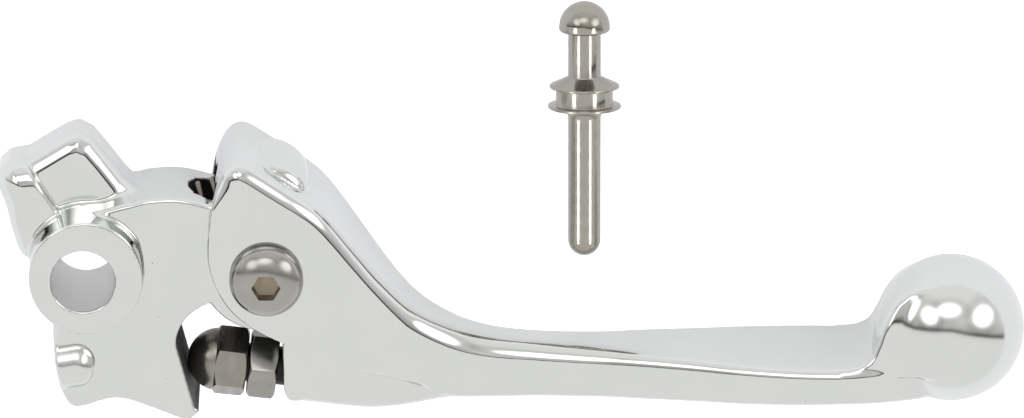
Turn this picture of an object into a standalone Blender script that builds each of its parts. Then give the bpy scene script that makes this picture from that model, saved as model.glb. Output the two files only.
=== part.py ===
"""Two-piece motorcycle clutch lever with a spring-loaded blade, and its loose pushrod.

Metres, +Z up. The lever lies on its back. The origin is on the axis of the pivot bore, half way through
the blade: +X runs to the ball end, +Y away from the grip, and +Z along the pivot axis, out of the front.
"""

import math

import bmesh
import bpy
from mathutils import Matrix, Vector

# Fits
SEAT_GAP = 0.00025
TURNING_GAP = 0.0005
CIRCLE_STEPS = 40

# Knuckle
PLATE_THICKNESS = 0.0123
PIVOT_BORE_DIAMETER = 0.0083
PIVOT_BOSS_DIAMETER = 0.0144
BOSS_FRONT_RISE = 0.0026
BOSS_BACK_RISE = 0.0004
TONGUE_RADIUS = 0.0086
TONGUE_START_DEG = -148.0
TONGUE_END_DEG = 90.0
BOSS_SIDE_INSET = 0.0003
BOSS_SIDE_START_DEG = 105.0
BOSS_SIDE_END_DEG = 234.0
STOP_BLOCK_RECESS = 0.0036
STOP_STEP_RECESS = 0.0016
STOP_BACK_INSET = 0.0003
HOOK_FACE_TOP = (0.0118, -0.0097)
HOOK_FACE_END = (0.0141, -0.0184)
SOCKET_MOUTH = (-0.0034, -0.0131)
SOCKET_TILT_DEG = 10.0
SOCKET_HALF_HEIGHT = 0.005
SOCKET_HALF_DEPTH = 0.0082
SOCKET_LENGTH = 0.0056
SOCKET_NOSE_LENGTH = 0.003

# Blade head and its pivot
BLADE_PIVOT_X = 0.0235
BLADE_PIVOT_Y = 0.0007
EAR_THICKNESS = 0.00245
FORK_START_DEG = -105.0
HEAD_INSET = 0.0003
WASHER_THICKNESS = 0.0004
WASHER_DIAMETER = 0.0136
SWING_DEG = 12.0
BOLT_HEAD_DIAMETER = 0.0095
BOLT_HEAD_HEIGHT = 0.0033
BOLT_HEAD_RIM = 0.0009
BOLT_SOCKET_WIDTH = 0.003
BOLT_SOCKET_DEPTH = 0.0017
BOLT_SHOULDER_DIAMETER = 0.0055
BOLT_THREAD_DIAMETER = 0.0048
BUSH_WALL = 0.0006

# Return spring
SPRING_SEAT = (0.014, 0.0069)
SPRING_RISE_DEG = 13.5
SPRING_DIAMETER = 0.0068
SPRING_WIRE = 0.00078
SPRING_PITCH = 0.00165
SPRING_LENGTH = 0.0134
SPRING_SIDE_GAP = 0.0004
SPRING_POCKET_WALL = 0.0017
SPRING_STEPS_PER_TURN = 9
SLOT_APEX_STEP = 0.0002

# Adjuster, with sizes of an M5 stud and nuts
ADJUSTER_POINT = (0.0186, -0.0142)
ADJUSTER_DROP_DEG = 6.4
NUT_WIDTH = 0.008
STUD_DIAMETER = 0.005
STUD_IN_CAP = 0.0032
STUD_IN_BLADE = 0.0095
CAP_DOME_RADIUS = 0.00375
CAP_NECK_LENGTH = 0.0006
CAP_HEX_LENGTH = 0.0034
CAP_TURN_DEG = 10.0
JAM_NUT_HEIGHT = 0.004
JAM_NUT_TURN_DEG = 24.0
NUT_CHAMFER = 0.0005
SLEEVE_RADIUS = 0.0045
SLEEVE_LENGTH = 0.0125
SLEEVE_TAIL_LENGTH = 0.0095
SLEEVE_TAIL_RADIUS = 0.0022

# Handle and ball end, measured from the blade's pivot
BALL_RADIUS = 0.0094
BALL_REACH = 0.08785
BALL_DROP = 0.01025

# Pushrod
PUSHROD_X = 0.0646
PUSHROD_HEAD_Y = 0.0326
PUSHROD_ROD_RADIUS = 0.0021
PUSHROD_HEAD_RADIUS = 0.00328
PUSHROD_COLLAR_RADIUS = 0.00452
PUSHROD_FLANGE_RADIUS = 0.00472
PUSHROD_GROOVE_RADIUS = 0.00368
PUSHROD_HEAD_LENGTH = 0.0042
PUSHROD_NECK_LENGTH = 0.0056
PUSHROD_CONE_LENGTH = 0.0013
PUSHROD_COLLAR_WIDTH = 0.0004
PUSHROD_GROOVE_WIDTH = 0.002
PUSHROD_SHANK_LENGTH = 0.0194
PUSHROD_HEAD_CHAMFER = 0.0004
PUSHROD_FILLET_WIDTH = 0.0016
PUSHROD_FILLET_LENGTH = 0.0014

# Outlines of the knuckle, anticlockwise as seen from the front
HOOK_OUTLINE = (
    (-0.0037, -0.0090),
    (-0.0035, -0.0125),
    (-0.0028, -0.0158),
    (-0.0014, -0.0179),
    (0.0003, -0.0177),
    (0.0040, -0.0168),
    (0.0078, -0.0179),
    (0.0109, -0.0191),
    (0.0127, -0.0196),
    (0.0139, -0.0193),
)
WINDOW_OUTLINE = ((0.0119, -0.0086), (0.0125, -0.0070), (0.0134, -0.0057), (0.0148, -0.0046))
PLATE_TOP_OUTLINE = ((0.0163, 0.0094), (0.0125, 0.0100), (0.0086, 0.0100), (0.0063, 0.0096))
STOP_BLOCK_OUTLINE = (
    (-0.0026, 0.0040),
    (0.0060, 0.0060),
    (0.0063, 0.0093),
    (0.0048, 0.0112),
    (0.0024, 0.0141),
    (0.0007, 0.0157),
    (-0.0006, 0.0162),
    (-0.0019, 0.0158),
    (-0.0069, 0.0128),
)
STOP_STEP_OUTLINE = (
    (-0.0040, 0.0010),
    (-0.0016, 0.0055),
    (-0.0064, 0.0124),
    (-0.0076, 0.0129),
    (-0.0090, 0.0127),
    (-0.0102, 0.0117),
    (-0.0106, 0.0103),
    (-0.0091, 0.0060),
    (-0.0082, 0.0032),
    (-0.0074, 0.0022),
)
# Outline of the blade's head, from the blade's pivot: the lower lip, the ears' left edge and the hood's top
HEAD_OUTLINE = (
    (0.0022, -0.0091),
    (-0.0020, -0.0070),
    (-0.0049, -0.0044),
    (-0.0065, -0.0015),
    (-0.0074, 0.0012),
    (-0.0076, 0.0040),
    (-0.0073, 0.0072),
    (-0.0066, 0.0102),
    (-0.0056, 0.0126),
    (-0.0045, 0.0141),
    (-0.0031, 0.0146),
    (-0.0016, 0.0140),
    (0.0013, 0.0121),
    (0.0044, 0.0101),
)
# Each handle station: share of the way from the pivot to the ball, top, bottom, share of the head's depth,
# and edge radius
HANDLE_STATIONS = (
    (0.020, 0.0121, -0.0089, 0.968, 0.0010),
    (0.050, 0.0101, -0.0102, 0.979, 0.0012),
    (0.080, 0.0083, -0.0113, 0.968, 0.0012),
    (0.108, 0.0054, -0.0124, 0.926, 0.0012),
    (0.138, 0.0019, -0.0136, 0.842, 0.0012),
    (0.167, -0.0016, -0.0144, 0.737, 0.0013),
    (0.196, -0.0047, -0.0154, 0.642, 0.0015),
    (0.225, -0.0070, -0.0165, 0.558, 0.0018),
    (0.255, -0.0086, -0.0175, 0.505, 0.0019),
    (0.283, -0.0099, -0.0181, 0.474, 0.0019),
    (0.343, -0.0111, -0.0184, 0.432, 0.0019),
    (0.401, -0.0115, -0.0183, 0.432, 0.0018),
    (0.488, -0.0119, -0.0183, 0.484, 0.0017),
    (0.548, -0.0123, -0.0182, 0.589, 0.0013),
    (0.635, -0.0126, -0.0181, 0.726, 0.0011),
    (0.693, -0.0129, -0.0180, 0.842, 0.0010),
    (0.781, -0.0131, -0.0178, 0.916, 0.0009),
    (0.860, -0.0129, -0.0177, 0.916, 0.0009),
    (0.900, -0.0112, -0.0178, 0.895, 0.0018),
    (0.945, -0.0080, -0.0183, 0.758, 0.0030),
    (0.985, -0.0070, -0.0186, 0.526, 0.0030),
)

PLATE_HALF = PLATE_THICKNESS / 2
FORK_HALF = PLATE_HALF + WASHER_THICKNESS + 2 * SEAT_GAP
HEAD_HALF = FORK_HALF + EAR_THICKNESS
BLADE_PIVOT = Vector((BLADE_PIVOT_X, BLADE_PIVOT_Y, 0.0))
BUSH_BORE_RADIUS = BOLT_SHOULDER_DIAMETER / 2 + SEAT_GAP
BUSH_RADIUS = BUSH_BORE_RADIUS + BUSH_WALL
SLOT_RADIUS = SPRING_DIAMETER / 2 + SPRING_SIDE_GAP
TABLE_Z = -HEAD_HALF
LONG = 0.05


def clear_scene():
    for obj in list(bpy.data.objects):
        bpy.data.objects.remove(obj, do_unlink=True)


def metal(name, colour, roughness):
    material = bpy.data.materials.new(name)
    material.use_nodes = True
    shader = material.node_tree.nodes["Principled BSDF"]
    shader.inputs["Base Color"].default_value = (*colour, 1.0)
    shader.inputs["Roughness"].default_value = roughness
    shader.inputs["Metallic"].default_value = 1.0
    return material


def add_object(name, mesh_builder, material=None):
    """A named object from a bmesh. With no material it is a helper that only cuts or joins."""
    bmesh.ops.recalc_face_normals(mesh_builder, faces=mesh_builder.faces)
    mesh = bpy.data.meshes.new(name)
    mesh_builder.to_mesh(mesh)
    mesh_builder.free()
    mesh.shade_smooth()
    mesh.set_sharp_from_angle(angle=math.radians(30))
    obj = bpy.data.objects.new(name, mesh)
    bpy.context.scene.collection.objects.link(obj)
    if material:
        mesh.materials.append(material)
    else:
        obj.hide_render = True
        obj.display_type = "WIRE"
    return obj


def add_empty(name, location):
    empty = bpy.data.objects.new(name, None)
    empty.location = location
    bpy.context.scene.collection.objects.link(empty)
    return empty


def boolean(obj, operation, helper):
    modifier = obj.modifiers.new(helper.name, "BOOLEAN")
    modifier.operation = operation
    modifier.solver = "EXACT"
    modifier.object = helper


def join(obj, *helpers):
    for helper in helpers:
        boolean(obj, "UNION", helper)


def cut(obj, *helpers):
    for helper in helpers:
        boolean(obj, "DIFFERENCE", helper)


def arc(centre, radius, start_deg, end_deg, steps):
    angles = [start_deg + (end_deg - start_deg) * i / steps for i in range(steps + 1)]
    return [
        (centre[0] + radius * math.cos(math.radians(a)), centre[1] + radius * math.sin(math.radians(a)))
        for a in angles
    ]


def smooth(points, per_span):
    """Points on a Catmull-Rom curve through the given ones, which may have any number of values each."""
    rows = [Vector(p) for p in points]
    rows = [2 * rows[0] - rows[1], *rows, 2 * rows[-1] - rows[-2]]
    out = []
    for before, start, end, after in zip(rows, rows[1:], rows[2:], rows[3:]):
        for i in range(per_span):
            t = i / per_span
            out.append(
                0.5
                * (
                    2 * start
                    + (end - before) * t
                    + (2 * before - 5 * start + 4 * end - after) * t**2
                    + (3 * start - before - 3 * end + after) * t**3
                )
            )
    return [tuple(p) for p in [*out, rows[-2]]]


def prism(outline, low, high):
    """A bmesh of an outline in XY, extruded along Z."""
    shape = bmesh.new()
    corners = [shape.verts.new((x, y, low)) for x, y in outline]
    face = shape.faces.new(corners)
    grown = bmesh.ops.extrude_face_region(shape, geom=[face])
    lifted = [v for v in grown["geom"] if isinstance(v, bmesh.types.BMVert)]
    bmesh.ops.translate(shape, verts=lifted, vec=(0, 0, high - low))
    return shape


def turned(profile, steps=CIRCLE_STEPS):
    """A bmesh turned about Z from (radius, height) points that start and end on the axis."""
    shape = bmesh.new()
    points = [shape.verts.new((radius, 0, height)) for radius, height in profile]
    edges = [shape.edges.new(pair) for pair in zip(points, points[1:])]
    bmesh.ops.spin(
        shape,
        geom=points + edges,
        axis=(0, 0, 1),
        cent=(0, 0, 0),
        angle=math.tau,
        steps=steps,
        use_merge=True,
    )
    bmesh.ops.remove_doubles(shape, verts=shape.verts, dist=1e-7)
    return shape


def rod(radius, low, high, steps=CIRCLE_STEPS):
    return turned([(0, low), (radius, low), (radius, high), (0, high)], steps)


def ring(inner, outer, low, high):
    """A bmesh of a plain washer or sleeve about Z."""
    shape = bmesh.new()
    section = ((inner, low), (outer, low), (outer, high), (inner, high))
    corners = [shape.verts.new((radius, 0, height)) for radius, height in section]
    edges = [shape.edges.new((corners[i], corners[(i + 1) % 4])) for i in range(4)]
    bmesh.ops.spin(
        shape,
        geom=corners + edges,
        axis=(0, 0, 1),
        cent=(0, 0, 0),
        angle=math.tau,
        steps=CIRCLE_STEPS,
        use_merge=True,
    )
    bmesh.ops.remove_doubles(shape, verts=shape.verts, dist=1e-7)
    return shape


def hexagon(width, turn_deg=0.0):
    return [
        (
            width / math.sqrt(3) * math.cos(math.radians(60 * i + turn_deg)),
            width / math.sqrt(3) * math.sin(math.radians(60 * i + turn_deg)),
        )
        for i in range(6)
    ]


def along(origin, direction):
    """The placing matrix whose Z runs along a direction in the XY plane and whose Y is the frame's Z."""
    z_axis = Vector((direction[0], direction[1], 0)).normalized()
    y_axis = Vector((0, 0, 1))
    x_axis = y_axis.cross(z_axis)
    turn = Matrix((x_axis, y_axis, z_axis)).transposed().to_4x4()
    return Matrix.Translation((origin[0], origin[1], 0)) @ turn


def placed(shape, matrix):
    bmesh.ops.transform(shape, matrix=matrix, verts=shape.verts)
    return shape


def spring_line():
    angle = math.radians(SPRING_RISE_DEG)
    return Vector((math.cos(angle), math.sin(angle)))


def adjuster_chain():
    """Where the adjuster's pieces sit: the dome's centre on the axis, then each face along it."""
    angle = math.radians(ADJUSTER_DROP_DEG)
    inward = Vector((math.cos(angle), -math.sin(angle)))
    top, end = Vector(HOOK_FACE_TOP), Vector(HOOK_FACE_END)
    face = (end - top).normalized()
    normal = Vector((-face.y, face.x))
    axis_point = Vector(ADJUSTER_POINT)
    reach = CAP_DOME_RADIUS + SEAT_GAP - normal.dot(axis_point - top)
    dome = axis_point + inward * (reach / normal.dot(inward))
    cap_end = CAP_NECK_LENGTH + CAP_HEX_LENGTH
    jam_start = cap_end + SEAT_GAP
    blade_start = jam_start + JAM_NUT_HEIGHT + SEAT_GAP
    return dome, inward, cap_end, jam_start, blade_start


def make_knuckle(material):
    hook = smooth(HOOK_OUTLINE, 3)
    window = smooth((HOOK_FACE_TOP, *WINDOW_OUTLINE), 2)
    tongue = arc(BLADE_PIVOT, TONGUE_RADIUS, TONGUE_START_DEG, TONGUE_END_DEG, 28)
    top = smooth(PLATE_TOP_OUTLINE, 3)
    inside_boss = PIVOT_BOSS_DIAMETER / 2 - BOSS_SIDE_INSET
    boss_side = arc((0, 0), inside_boss, BOSS_SIDE_START_DEG, BOSS_SIDE_END_DEG, 18)
    outline = [*hook, HOOK_FACE_END, *window, *tongue, *top, *boss_side]
    knuckle = add_object("knuckle", prism(outline, -PLATE_HALF, PLATE_HALF), material)

    boss_back, boss_front = -PLATE_HALF - BOSS_BACK_RISE, PLATE_HALF + BOSS_FRONT_RISE
    block_back = -PLATE_HALF + STOP_BACK_INSET
    block = prism(STOP_BLOCK_OUTLINE, block_back, PLATE_HALF - STOP_BLOCK_RECESS)
    step = prism(STOP_STEP_OUTLINE, 2 * STOP_BACK_INSET - PLATE_HALF, PLATE_HALF - STOP_STEP_RECESS)
    join(
        knuckle,
        add_object("knuckle_boss", rod(PIVOT_BOSS_DIAMETER / 2, boss_back, boss_front)),
        add_object("knuckle_stop_block", block),
        add_object("knuckle_stop_step", step),
        add_object("knuckle_socket_barrel", socket_barrel()),
    )

    bush_bore = rod(BUSH_RADIUS + SEAT_GAP, -LONG, LONG)
    cut(
        knuckle,
        add_object("pivot_bore_cutter", rod(PIVOT_BORE_DIAMETER / 2, -LONG, LONG)),
        add_object("bush_bore_cutter", placed(bush_bore, Matrix.Translation(BLADE_PIVOT))),
        add_object("spring_slot_cutter", spring_slot()),
        add_object("spring_bore_cutter", spring_bore(-SEAT_GAP - SPRING_WIRE / 2, LONG)),
        add_object("socket_cutter", socket_cup()),
    )
    return knuckle


def socket_frame():
    angle = math.radians(SOCKET_TILT_DEG)
    return along(SOCKET_MOUTH, (math.cos(angle), math.sin(angle)))


def socket_barrel():
    """A barrel round the pushrod socket, flat at its mouth and round at its nose, deeper than high."""
    straight = SOCKET_LENGTH - SOCKET_NOSE_LENGTH
    quarter = [math.radians(90 * i / 6) for i in range(7)]
    nose = [
        (SOCKET_HALF_HEIGHT * math.cos(a), straight + SOCKET_NOSE_LENGTH * math.sin(a)) for a in quarter[:-1]
    ]
    profile = [(0, 0), (SOCKET_HALF_HEIGHT, 0), *nose, (0, SOCKET_LENGTH)]
    deepen = Matrix.Diagonal((1, SOCKET_HALF_DEPTH / SOCKET_HALF_HEIGHT, 1, 1))
    return placed(turned(profile), socket_frame() @ deepen)


def socket_cup():
    """The round-bottomed seat for the pushrod's head."""
    radius = PUSHROD_HEAD_RADIUS + SEAT_GAP
    straight = PUSHROD_HEAD_LENGTH - PUSHROD_HEAD_RADIUS
    quarter = [math.radians(90 * i / 6) for i in range(7)]
    bottom = [(radius * math.cos(a), straight + radius * math.sin(a)) for a in quarter[:-1]]
    profile = [(0, -LONG), (radius, -LONG), *bottom, (0, straight + radius)]
    return placed(turned(profile, 24), socket_frame())


def spring_bore(low, high):
    return placed(rod(SLOT_RADIUS, low, high), along(SPRING_SEAT, spring_line()))


def spring_slot():
    """The slot that opens the spring's bore upwards: parallel sides, and a round end at the seat."""
    line = spring_line()
    middle = SLOT_APEX_STEP + SLOT_RADIUS
    outline = [*arc((middle, 0), SLOT_RADIUS, 90, 270, 16), (LONG, -SLOT_RADIUS), (LONG, SLOT_RADIUS)]
    frame = Matrix(((line.x, 0, -line.y), (line.y, 0, line.x), (0, -1, 0))).to_4x4()
    frame = Matrix.Translation((SPRING_SEAT[0], SPRING_SEAT[1], 0)) @ frame
    return placed(prism(outline, 0, LONG), frame)


def handle_loft():
    """The blade from the head to the ball, lofted through rounded oblong sections."""
    shape = bmesh.new()
    loops = []
    for share, top, bottom, depth_share, radius in smooth(HANDLE_STATIONS, 2):
        half_depth = depth_share * HEAD_HALF
        corners = (
            (half_depth - radius, top - radius, 0),
            (radius - half_depth, top - radius, 90),
            (radius - half_depth, bottom + radius, 180),
            (half_depth - radius, bottom + radius, 270),
        )
        section = []
        for z, y, start in corners:
            section += arc((z, y), radius, start, start + 90, 3)
        loops.append([shape.verts.new((share * BALL_REACH, y, z)) for z, y in section])
    count = len(loops[0])
    for loop, following in zip(loops, loops[1:]):
        for i in range(count):
            j = (i + 1) % count
            shape.faces.new((loop[i], loop[j], following[j], following[i]))
    shape.faces.new(loops[0])
    shape.faces.new(list(reversed(loops[-1])))
    return shape


def head_prism():
    lower_lip = [(share * BALL_REACH, bottom + HEAD_INSET) for share, _, bottom, _, _ in HANDLE_STATIONS[1:4]]
    upper_edge = [(share * BALL_REACH, top - HEAD_INSET) for share, top, _, _, _ in HANDLE_STATIONS[2:4]]
    outline = [*smooth(HEAD_OUTLINE, 2), *upper_edge, *lower_lip[::-1]]
    return prism(outline, -HEAD_HALF, HEAD_HALF)


def adjuster_sleeve(dome, inward, start):
    """The boss that the stud screws into, tapering into the underside of the handle."""
    tail = start + SLEEVE_LENGTH
    profile = [
        (0, start),
        (SLEEVE_RADIUS - NUT_CHAMFER, start),
        (SLEEVE_RADIUS, start + NUT_CHAMFER),
        (SLEEVE_RADIUS, tail),
        (SLEEVE_TAIL_RADIUS, tail + SLEEVE_TAIL_LENGTH),
        (0, tail + SLEEVE_TAIL_LENGTH),
    ]
    return placed(turned(profile), along(dome, inward))


def sleeve_web(dome, inward, start):
    """The rib that joins the sleeve to the underside of the two ears."""
    up = Vector((-inward.y, inward.x))
    height = TONGUE_RADIUS
    foot, far = dome + inward * start, dome + inward * (start + SLEEVE_LENGTH)
    outline = [tuple(foot), tuple(far), tuple(far + up * height), tuple(foot + up * height)]
    half = SLEEVE_RADIUS - NUT_CHAMFER
    return prism(outline, -half, half)


def fork_space():
    """The space between the ears, in which the tongue turns by the whole swing."""
    radius = TONGUE_RADIUS + TURNING_GAP
    turn = math.radians(TONGUE_END_DEG - SWING_DEG)
    leave = Vector((radius * math.cos(turn), radius * math.sin(turn)))
    mouth = leave + Vector((-math.sin(turn), math.cos(turn))) * LONG
    round_end = arc((0, 0), radius, FORK_START_DEG, TONGUE_END_DEG - SWING_DEG, 30)
    outline = [*round_end, tuple(mouth), (-LONG, -LONG), (round_end[0][0], -LONG)]
    return prism(outline, -FORK_HALF, FORK_HALF)


def make_blade(material, pivot):
    """The blade, modelled about its pivot."""
    dome, inward, _, _, start = adjuster_chain()
    dome = dome - BLADE_PIVOT.xy
    blade = add_object("blade", handle_loft(), material)
    ball = bmesh.new()
    bmesh.ops.create_uvsphere(ball, u_segments=40, v_segments=20, radius=BALL_RADIUS)
    placed(ball, Matrix.Translation((BALL_REACH, -BALL_DROP, 0)))
    pocket_frame = Matrix.Translation(-BLADE_PIVOT) @ along(SPRING_SEAT, spring_line())
    pocket_end = SPRING_LENGTH + SEAT_GAP
    wall = SPRING_POCKET_WALL
    bulge = [
        (0, SPRING_LENGTH / 2),
        (SLOT_RADIUS + wall, SPRING_LENGTH / 2),
        (SLOT_RADIUS + wall, pocket_end - wall),
        (SLOT_RADIUS, pocket_end + wall),
        (0, pocket_end + wall),
    ]
    helpers = [
        add_object("blade_head", head_prism()),
        add_object("blade_ball", ball),
        add_object("blade_sleeve", adjuster_sleeve(dome, inward, start)),
        add_object("blade_sleeve_web", sleeve_web(dome, inward, start)),
        add_object("blade_spring_bulge", placed(turned(bulge), pocket_frame)),
    ]
    join(blade, *helpers)
    cutters = [
        add_object("fork_cutter", fork_space()),
        add_object("spring_pocket_cutter", placed(rod(SLOT_RADIUS, 0, pocket_end), pocket_frame)),
        add_object("front_ear_cutter", rod(BOLT_SHOULDER_DIAMETER / 2 + SEAT_GAP, 0, LONG)),
        add_object("back_ear_cutter", rod(BOLT_THREAD_DIAMETER / 2 + SEAT_GAP, -LONG, 0)),
        add_object("stud_cutter", stud_bore(dome, inward, start)),
    ]
    cut(blade, *cutters)
    for obj in (blade, *helpers, *cutters):
        obj.parent = pivot
    return blade


def stud_bore(dome, inward, start):
    depth = start + STUD_IN_BLADE + SEAT_GAP
    return placed(rod(STUD_DIAMETER / 2 + SEAT_GAP, start - SEAT_GAP, depth, 24), along(dome, inward))


def make_pivot_pieces(steel, bronze, pivot):
    """The bolt through both ears, the bush in the tongue and the washers beside it, about the pivot."""
    seat = HEAD_HALF + SEAT_GAP
    radius = BOLT_HEAD_DIAMETER / 2
    dome = [
        (radius * math.cos(a), seat + BOLT_HEAD_RIM + (BOLT_HEAD_HEIGHT - BOLT_HEAD_RIM) * math.sin(a))
        for a in [math.radians(90 * i / 8) for i in range(8)]
    ]
    profile = [
        (0, -HEAD_HALF + SEAT_GAP),
        (BOLT_THREAD_DIAMETER / 2, -HEAD_HALF + SEAT_GAP),
        (BOLT_THREAD_DIAMETER / 2, -FORK_HALF + SEAT_GAP),
        (BOLT_SHOULDER_DIAMETER / 2, -FORK_HALF + SEAT_GAP),
        (BOLT_SHOULDER_DIAMETER / 2, seat),
        (radius, seat),
        *dome,
        (0, seat + BOLT_HEAD_HEIGHT),
    ]
    bolt = add_object("pivot_bolt", turned(profile), steel)
    socket_floor = seat + BOLT_HEAD_HEIGHT - BOLT_SOCKET_DEPTH
    key = add_object("bolt_socket_cutter", prism(hexagon(BOLT_SOCKET_WIDTH, 30), socket_floor, LONG))
    cut(bolt, key)
    pieces = [bolt, key]
    bush = ring(BUSH_BORE_RADIUS, BUSH_RADIUS, -PLATE_HALF, PLATE_HALF)
    pieces.append(add_object("pivot_bush", bush, bronze))
    near = PLATE_HALF + SEAT_GAP
    far = near + WASHER_THICKNESS
    for name, low, high in (("thrust_washer_front", near, far), ("thrust_washer_back", -far, -near)):
        pieces.append(add_object(name, ring(BUSH_BORE_RADIUS, WASHER_DIAMETER / 2, low, high), bronze))
    for piece in pieces:
        piece.parent = pivot


def nut_corner_trim(low, high, chamfered_low, chamfered_high):
    """The turned shape that a nut's corners are trimmed to at each end."""
    corner = NUT_WIDTH / math.sqrt(3) + NUT_CHAMFER
    flat = NUT_WIDTH / 2 - NUT_CHAMFER / 4
    run = (corner - flat) * math.tan(math.radians(30))
    profile = [(0, low)]
    profile += [(flat, low), (corner, low + run)] if chamfered_low else [(corner, low)]
    profile += [(corner, high - run), (flat, high)] if chamfered_high else [(corner, high)]
    profile.append((0, high))
    return turned(profile)


def make_adjuster(steel, dark_steel, zinc):
    """The stud with its cap nut and jam nut, each modelled on the adjuster's own axis."""
    dome, inward, cap_end, jam_start, blade_start = adjuster_chain()
    frame = along(dome, inward)
    clear = STUD_DIAMETER / 2 + SEAT_GAP

    stud_low, stud_high = cap_end - STUD_IN_CAP, blade_start + STUD_IN_BLADE
    tip = NUT_CHAMFER
    profile = [
        (0, stud_low),
        (STUD_DIAMETER / 2 - tip, stud_low),
        (STUD_DIAMETER / 2, stud_low + tip),
        (STUD_DIAMETER / 2, stud_high - tip),
        (STUD_DIAMETER / 2 - tip, stud_high),
        (0, stud_high),
    ]
    stud = add_object("adjuster_stud", turned(profile, 24), steel)

    jam = prism(hexagon(NUT_WIDTH, JAM_NUT_TURN_DEG), jam_start, jam_start + JAM_NUT_HEIGHT)
    jam_nut = add_object("adjuster_jam_nut", jam, zinc)
    jam_trim = add_object("jam_nut_trim", nut_corner_trim(jam_start, jam_start + JAM_NUT_HEIGHT, True, True))
    boolean(jam_nut, "INTERSECT", jam_trim)
    jam_bore = add_object("jam_nut_bore", rod(clear, 0, LONG, 24))
    cut(jam_nut, jam_bore)

    hexagon_part = prism(hexagon(NUT_WIDTH, CAP_TURN_DEG), CAP_NECK_LENGTH, cap_end)
    cap_nut = add_object("adjuster_cap_nut", hexagon_part, dark_steel)
    cap_trim = add_object("cap_nut_trim", nut_corner_trim(CAP_NECK_LENGTH, cap_end, True, True))
    boolean(cap_nut, "INTERSECT", cap_trim)
    quarter = [math.radians(90 * i / 8) for i in range(8)]
    round_end = [(CAP_DOME_RADIUS * math.cos(a), -CAP_DOME_RADIUS * math.sin(a)) for a in quarter]
    inside = cap_end - NUT_CHAMFER
    profile = [(0, -CAP_DOME_RADIUS), *reversed(round_end), (CAP_DOME_RADIUS, inside), (0, inside)]
    cap_dome = add_object("cap_nut_dome", turned(profile))
    join(cap_nut, cap_dome)
    cap_bore = add_object("cap_nut_bore", rod(clear, stud_low - SEAT_GAP, LONG, 24))
    cut(cap_nut, cap_bore)

    for obj in (stud, jam_nut, jam_trim, jam_bore, cap_nut, cap_trim, cap_dome, cap_bore):
        obj.matrix_world = frame


def make_return_spring(steel):
    """One unbroken coil between the seat in the tongue and the pocket in the hood."""
    mean_radius = (SPRING_DIAMETER - SPRING_WIRE) / 2
    coiled = SPRING_LENGTH - SPRING_WIRE
    turns = coiled / SPRING_PITCH
    count = round(turns * SPRING_STEPS_PER_TURN)
    points = []
    for i in range(count + 1):
        angle = math.tau * turns * i / count
        height = SPRING_WIRE / 2 + coiled * i / count
        points.append(Vector((mean_radius * math.cos(angle), mean_radius * math.sin(angle), height)))
    near = [
        (points[i] - points[j]).length
        for i in range(count + 1)
        for j in range(i + SPRING_STEPS_PER_TURN // 2, count + 1)
    ]
    print(f"return_spring: least gap to itself {1000 * (min(near) - SPRING_WIRE):.2f} mm")
    curve = bpy.data.curves.new("return_spring", "CURVE")
    curve.dimensions = "3D"
    curve.bevel_depth = SPRING_WIRE / 2
    curve.bevel_resolution = 1
    curve.use_fill_caps = True
    spline = curve.splines.new("POLY")
    spline.points.add(count)
    for spline_point, point in zip(spline.points, points):
        spline_point.co = (*point, 1)
    curve.materials.append(steel)
    spring = bpy.data.objects.new("return_spring", curve)
    bpy.context.scene.collection.objects.link(spring)
    spring.matrix_world = along(SPRING_SEAT, spring_line())


def make_pushrod(steel):
    """The turned pushrod, lying on its head and its upper collar with the tip a little raised."""
    head, rod_radius = PUSHROD_HEAD_RADIUS, PUSHROD_ROD_RADIUS
    quarter = [math.radians(90 * i / 8) for i in range(9)]
    crown = [(head * math.sin(a), head - head * math.cos(a)) for a in quarter]
    neck = PUSHROD_HEAD_LENGTH
    cone = neck + PUSHROD_NECK_LENGTH
    collar = cone + PUSHROD_CONE_LENGTH
    groove = collar + PUSHROD_COLLAR_WIDTH
    flange = groove + PUSHROD_GROOVE_WIDTH
    shank = flange + PUSHROD_COLLAR_WIDTH
    tip = shank + PUSHROD_SHANK_LENGTH - rod_radius
    under_flange = [
        (
            rod_radius + PUSHROD_FILLET_WIDTH * (1 - math.sin(a)),
            shank + PUSHROD_FILLET_LENGTH * (1 - math.cos(a)),
        )
        for a in quarter
    ]
    point = [(rod_radius * math.cos(a), tip + rod_radius * math.sin(a)) for a in quarter[:-1]]
    profile = [
        *crown,
        (head, neck - PUSHROD_HEAD_CHAMFER),
        (head - PUSHROD_HEAD_CHAMFER, neck),
        (rod_radius, neck),
        (rod_radius, cone),
        (PUSHROD_COLLAR_RADIUS, collar),
        (PUSHROD_COLLAR_RADIUS, groove),
        (PUSHROD_GROOVE_RADIUS, groove),
        (PUSHROD_GROOVE_RADIUS, flange),
        (PUSHROD_FLANGE_RADIUS, flange),
        (PUSHROD_FLANGE_RADIUS, shank),
        *under_flange,
        *point,
        (0, tip + rod_radius),
    ]
    pushrod = add_object("pushrod", turned(profile, 32), steel)

    # The table touches the round head and the rim of the collar, which gives the tilt of the axis.
    run = groove - head
    reach = math.hypot(PUSHROD_COLLAR_RADIUS, run)
    tilt = math.acos(head / reach) - math.atan2(run, PUSHROD_COLLAR_RADIUS)
    turn = Matrix.Rotation(math.radians(90) - tilt, 4, "X")
    height = TABLE_Z + head - head * math.sin(tilt)
    pushrod.matrix_world = Matrix.Translation((PUSHROD_X, PUSHROD_HEAD_Y, height)) @ turn


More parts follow.
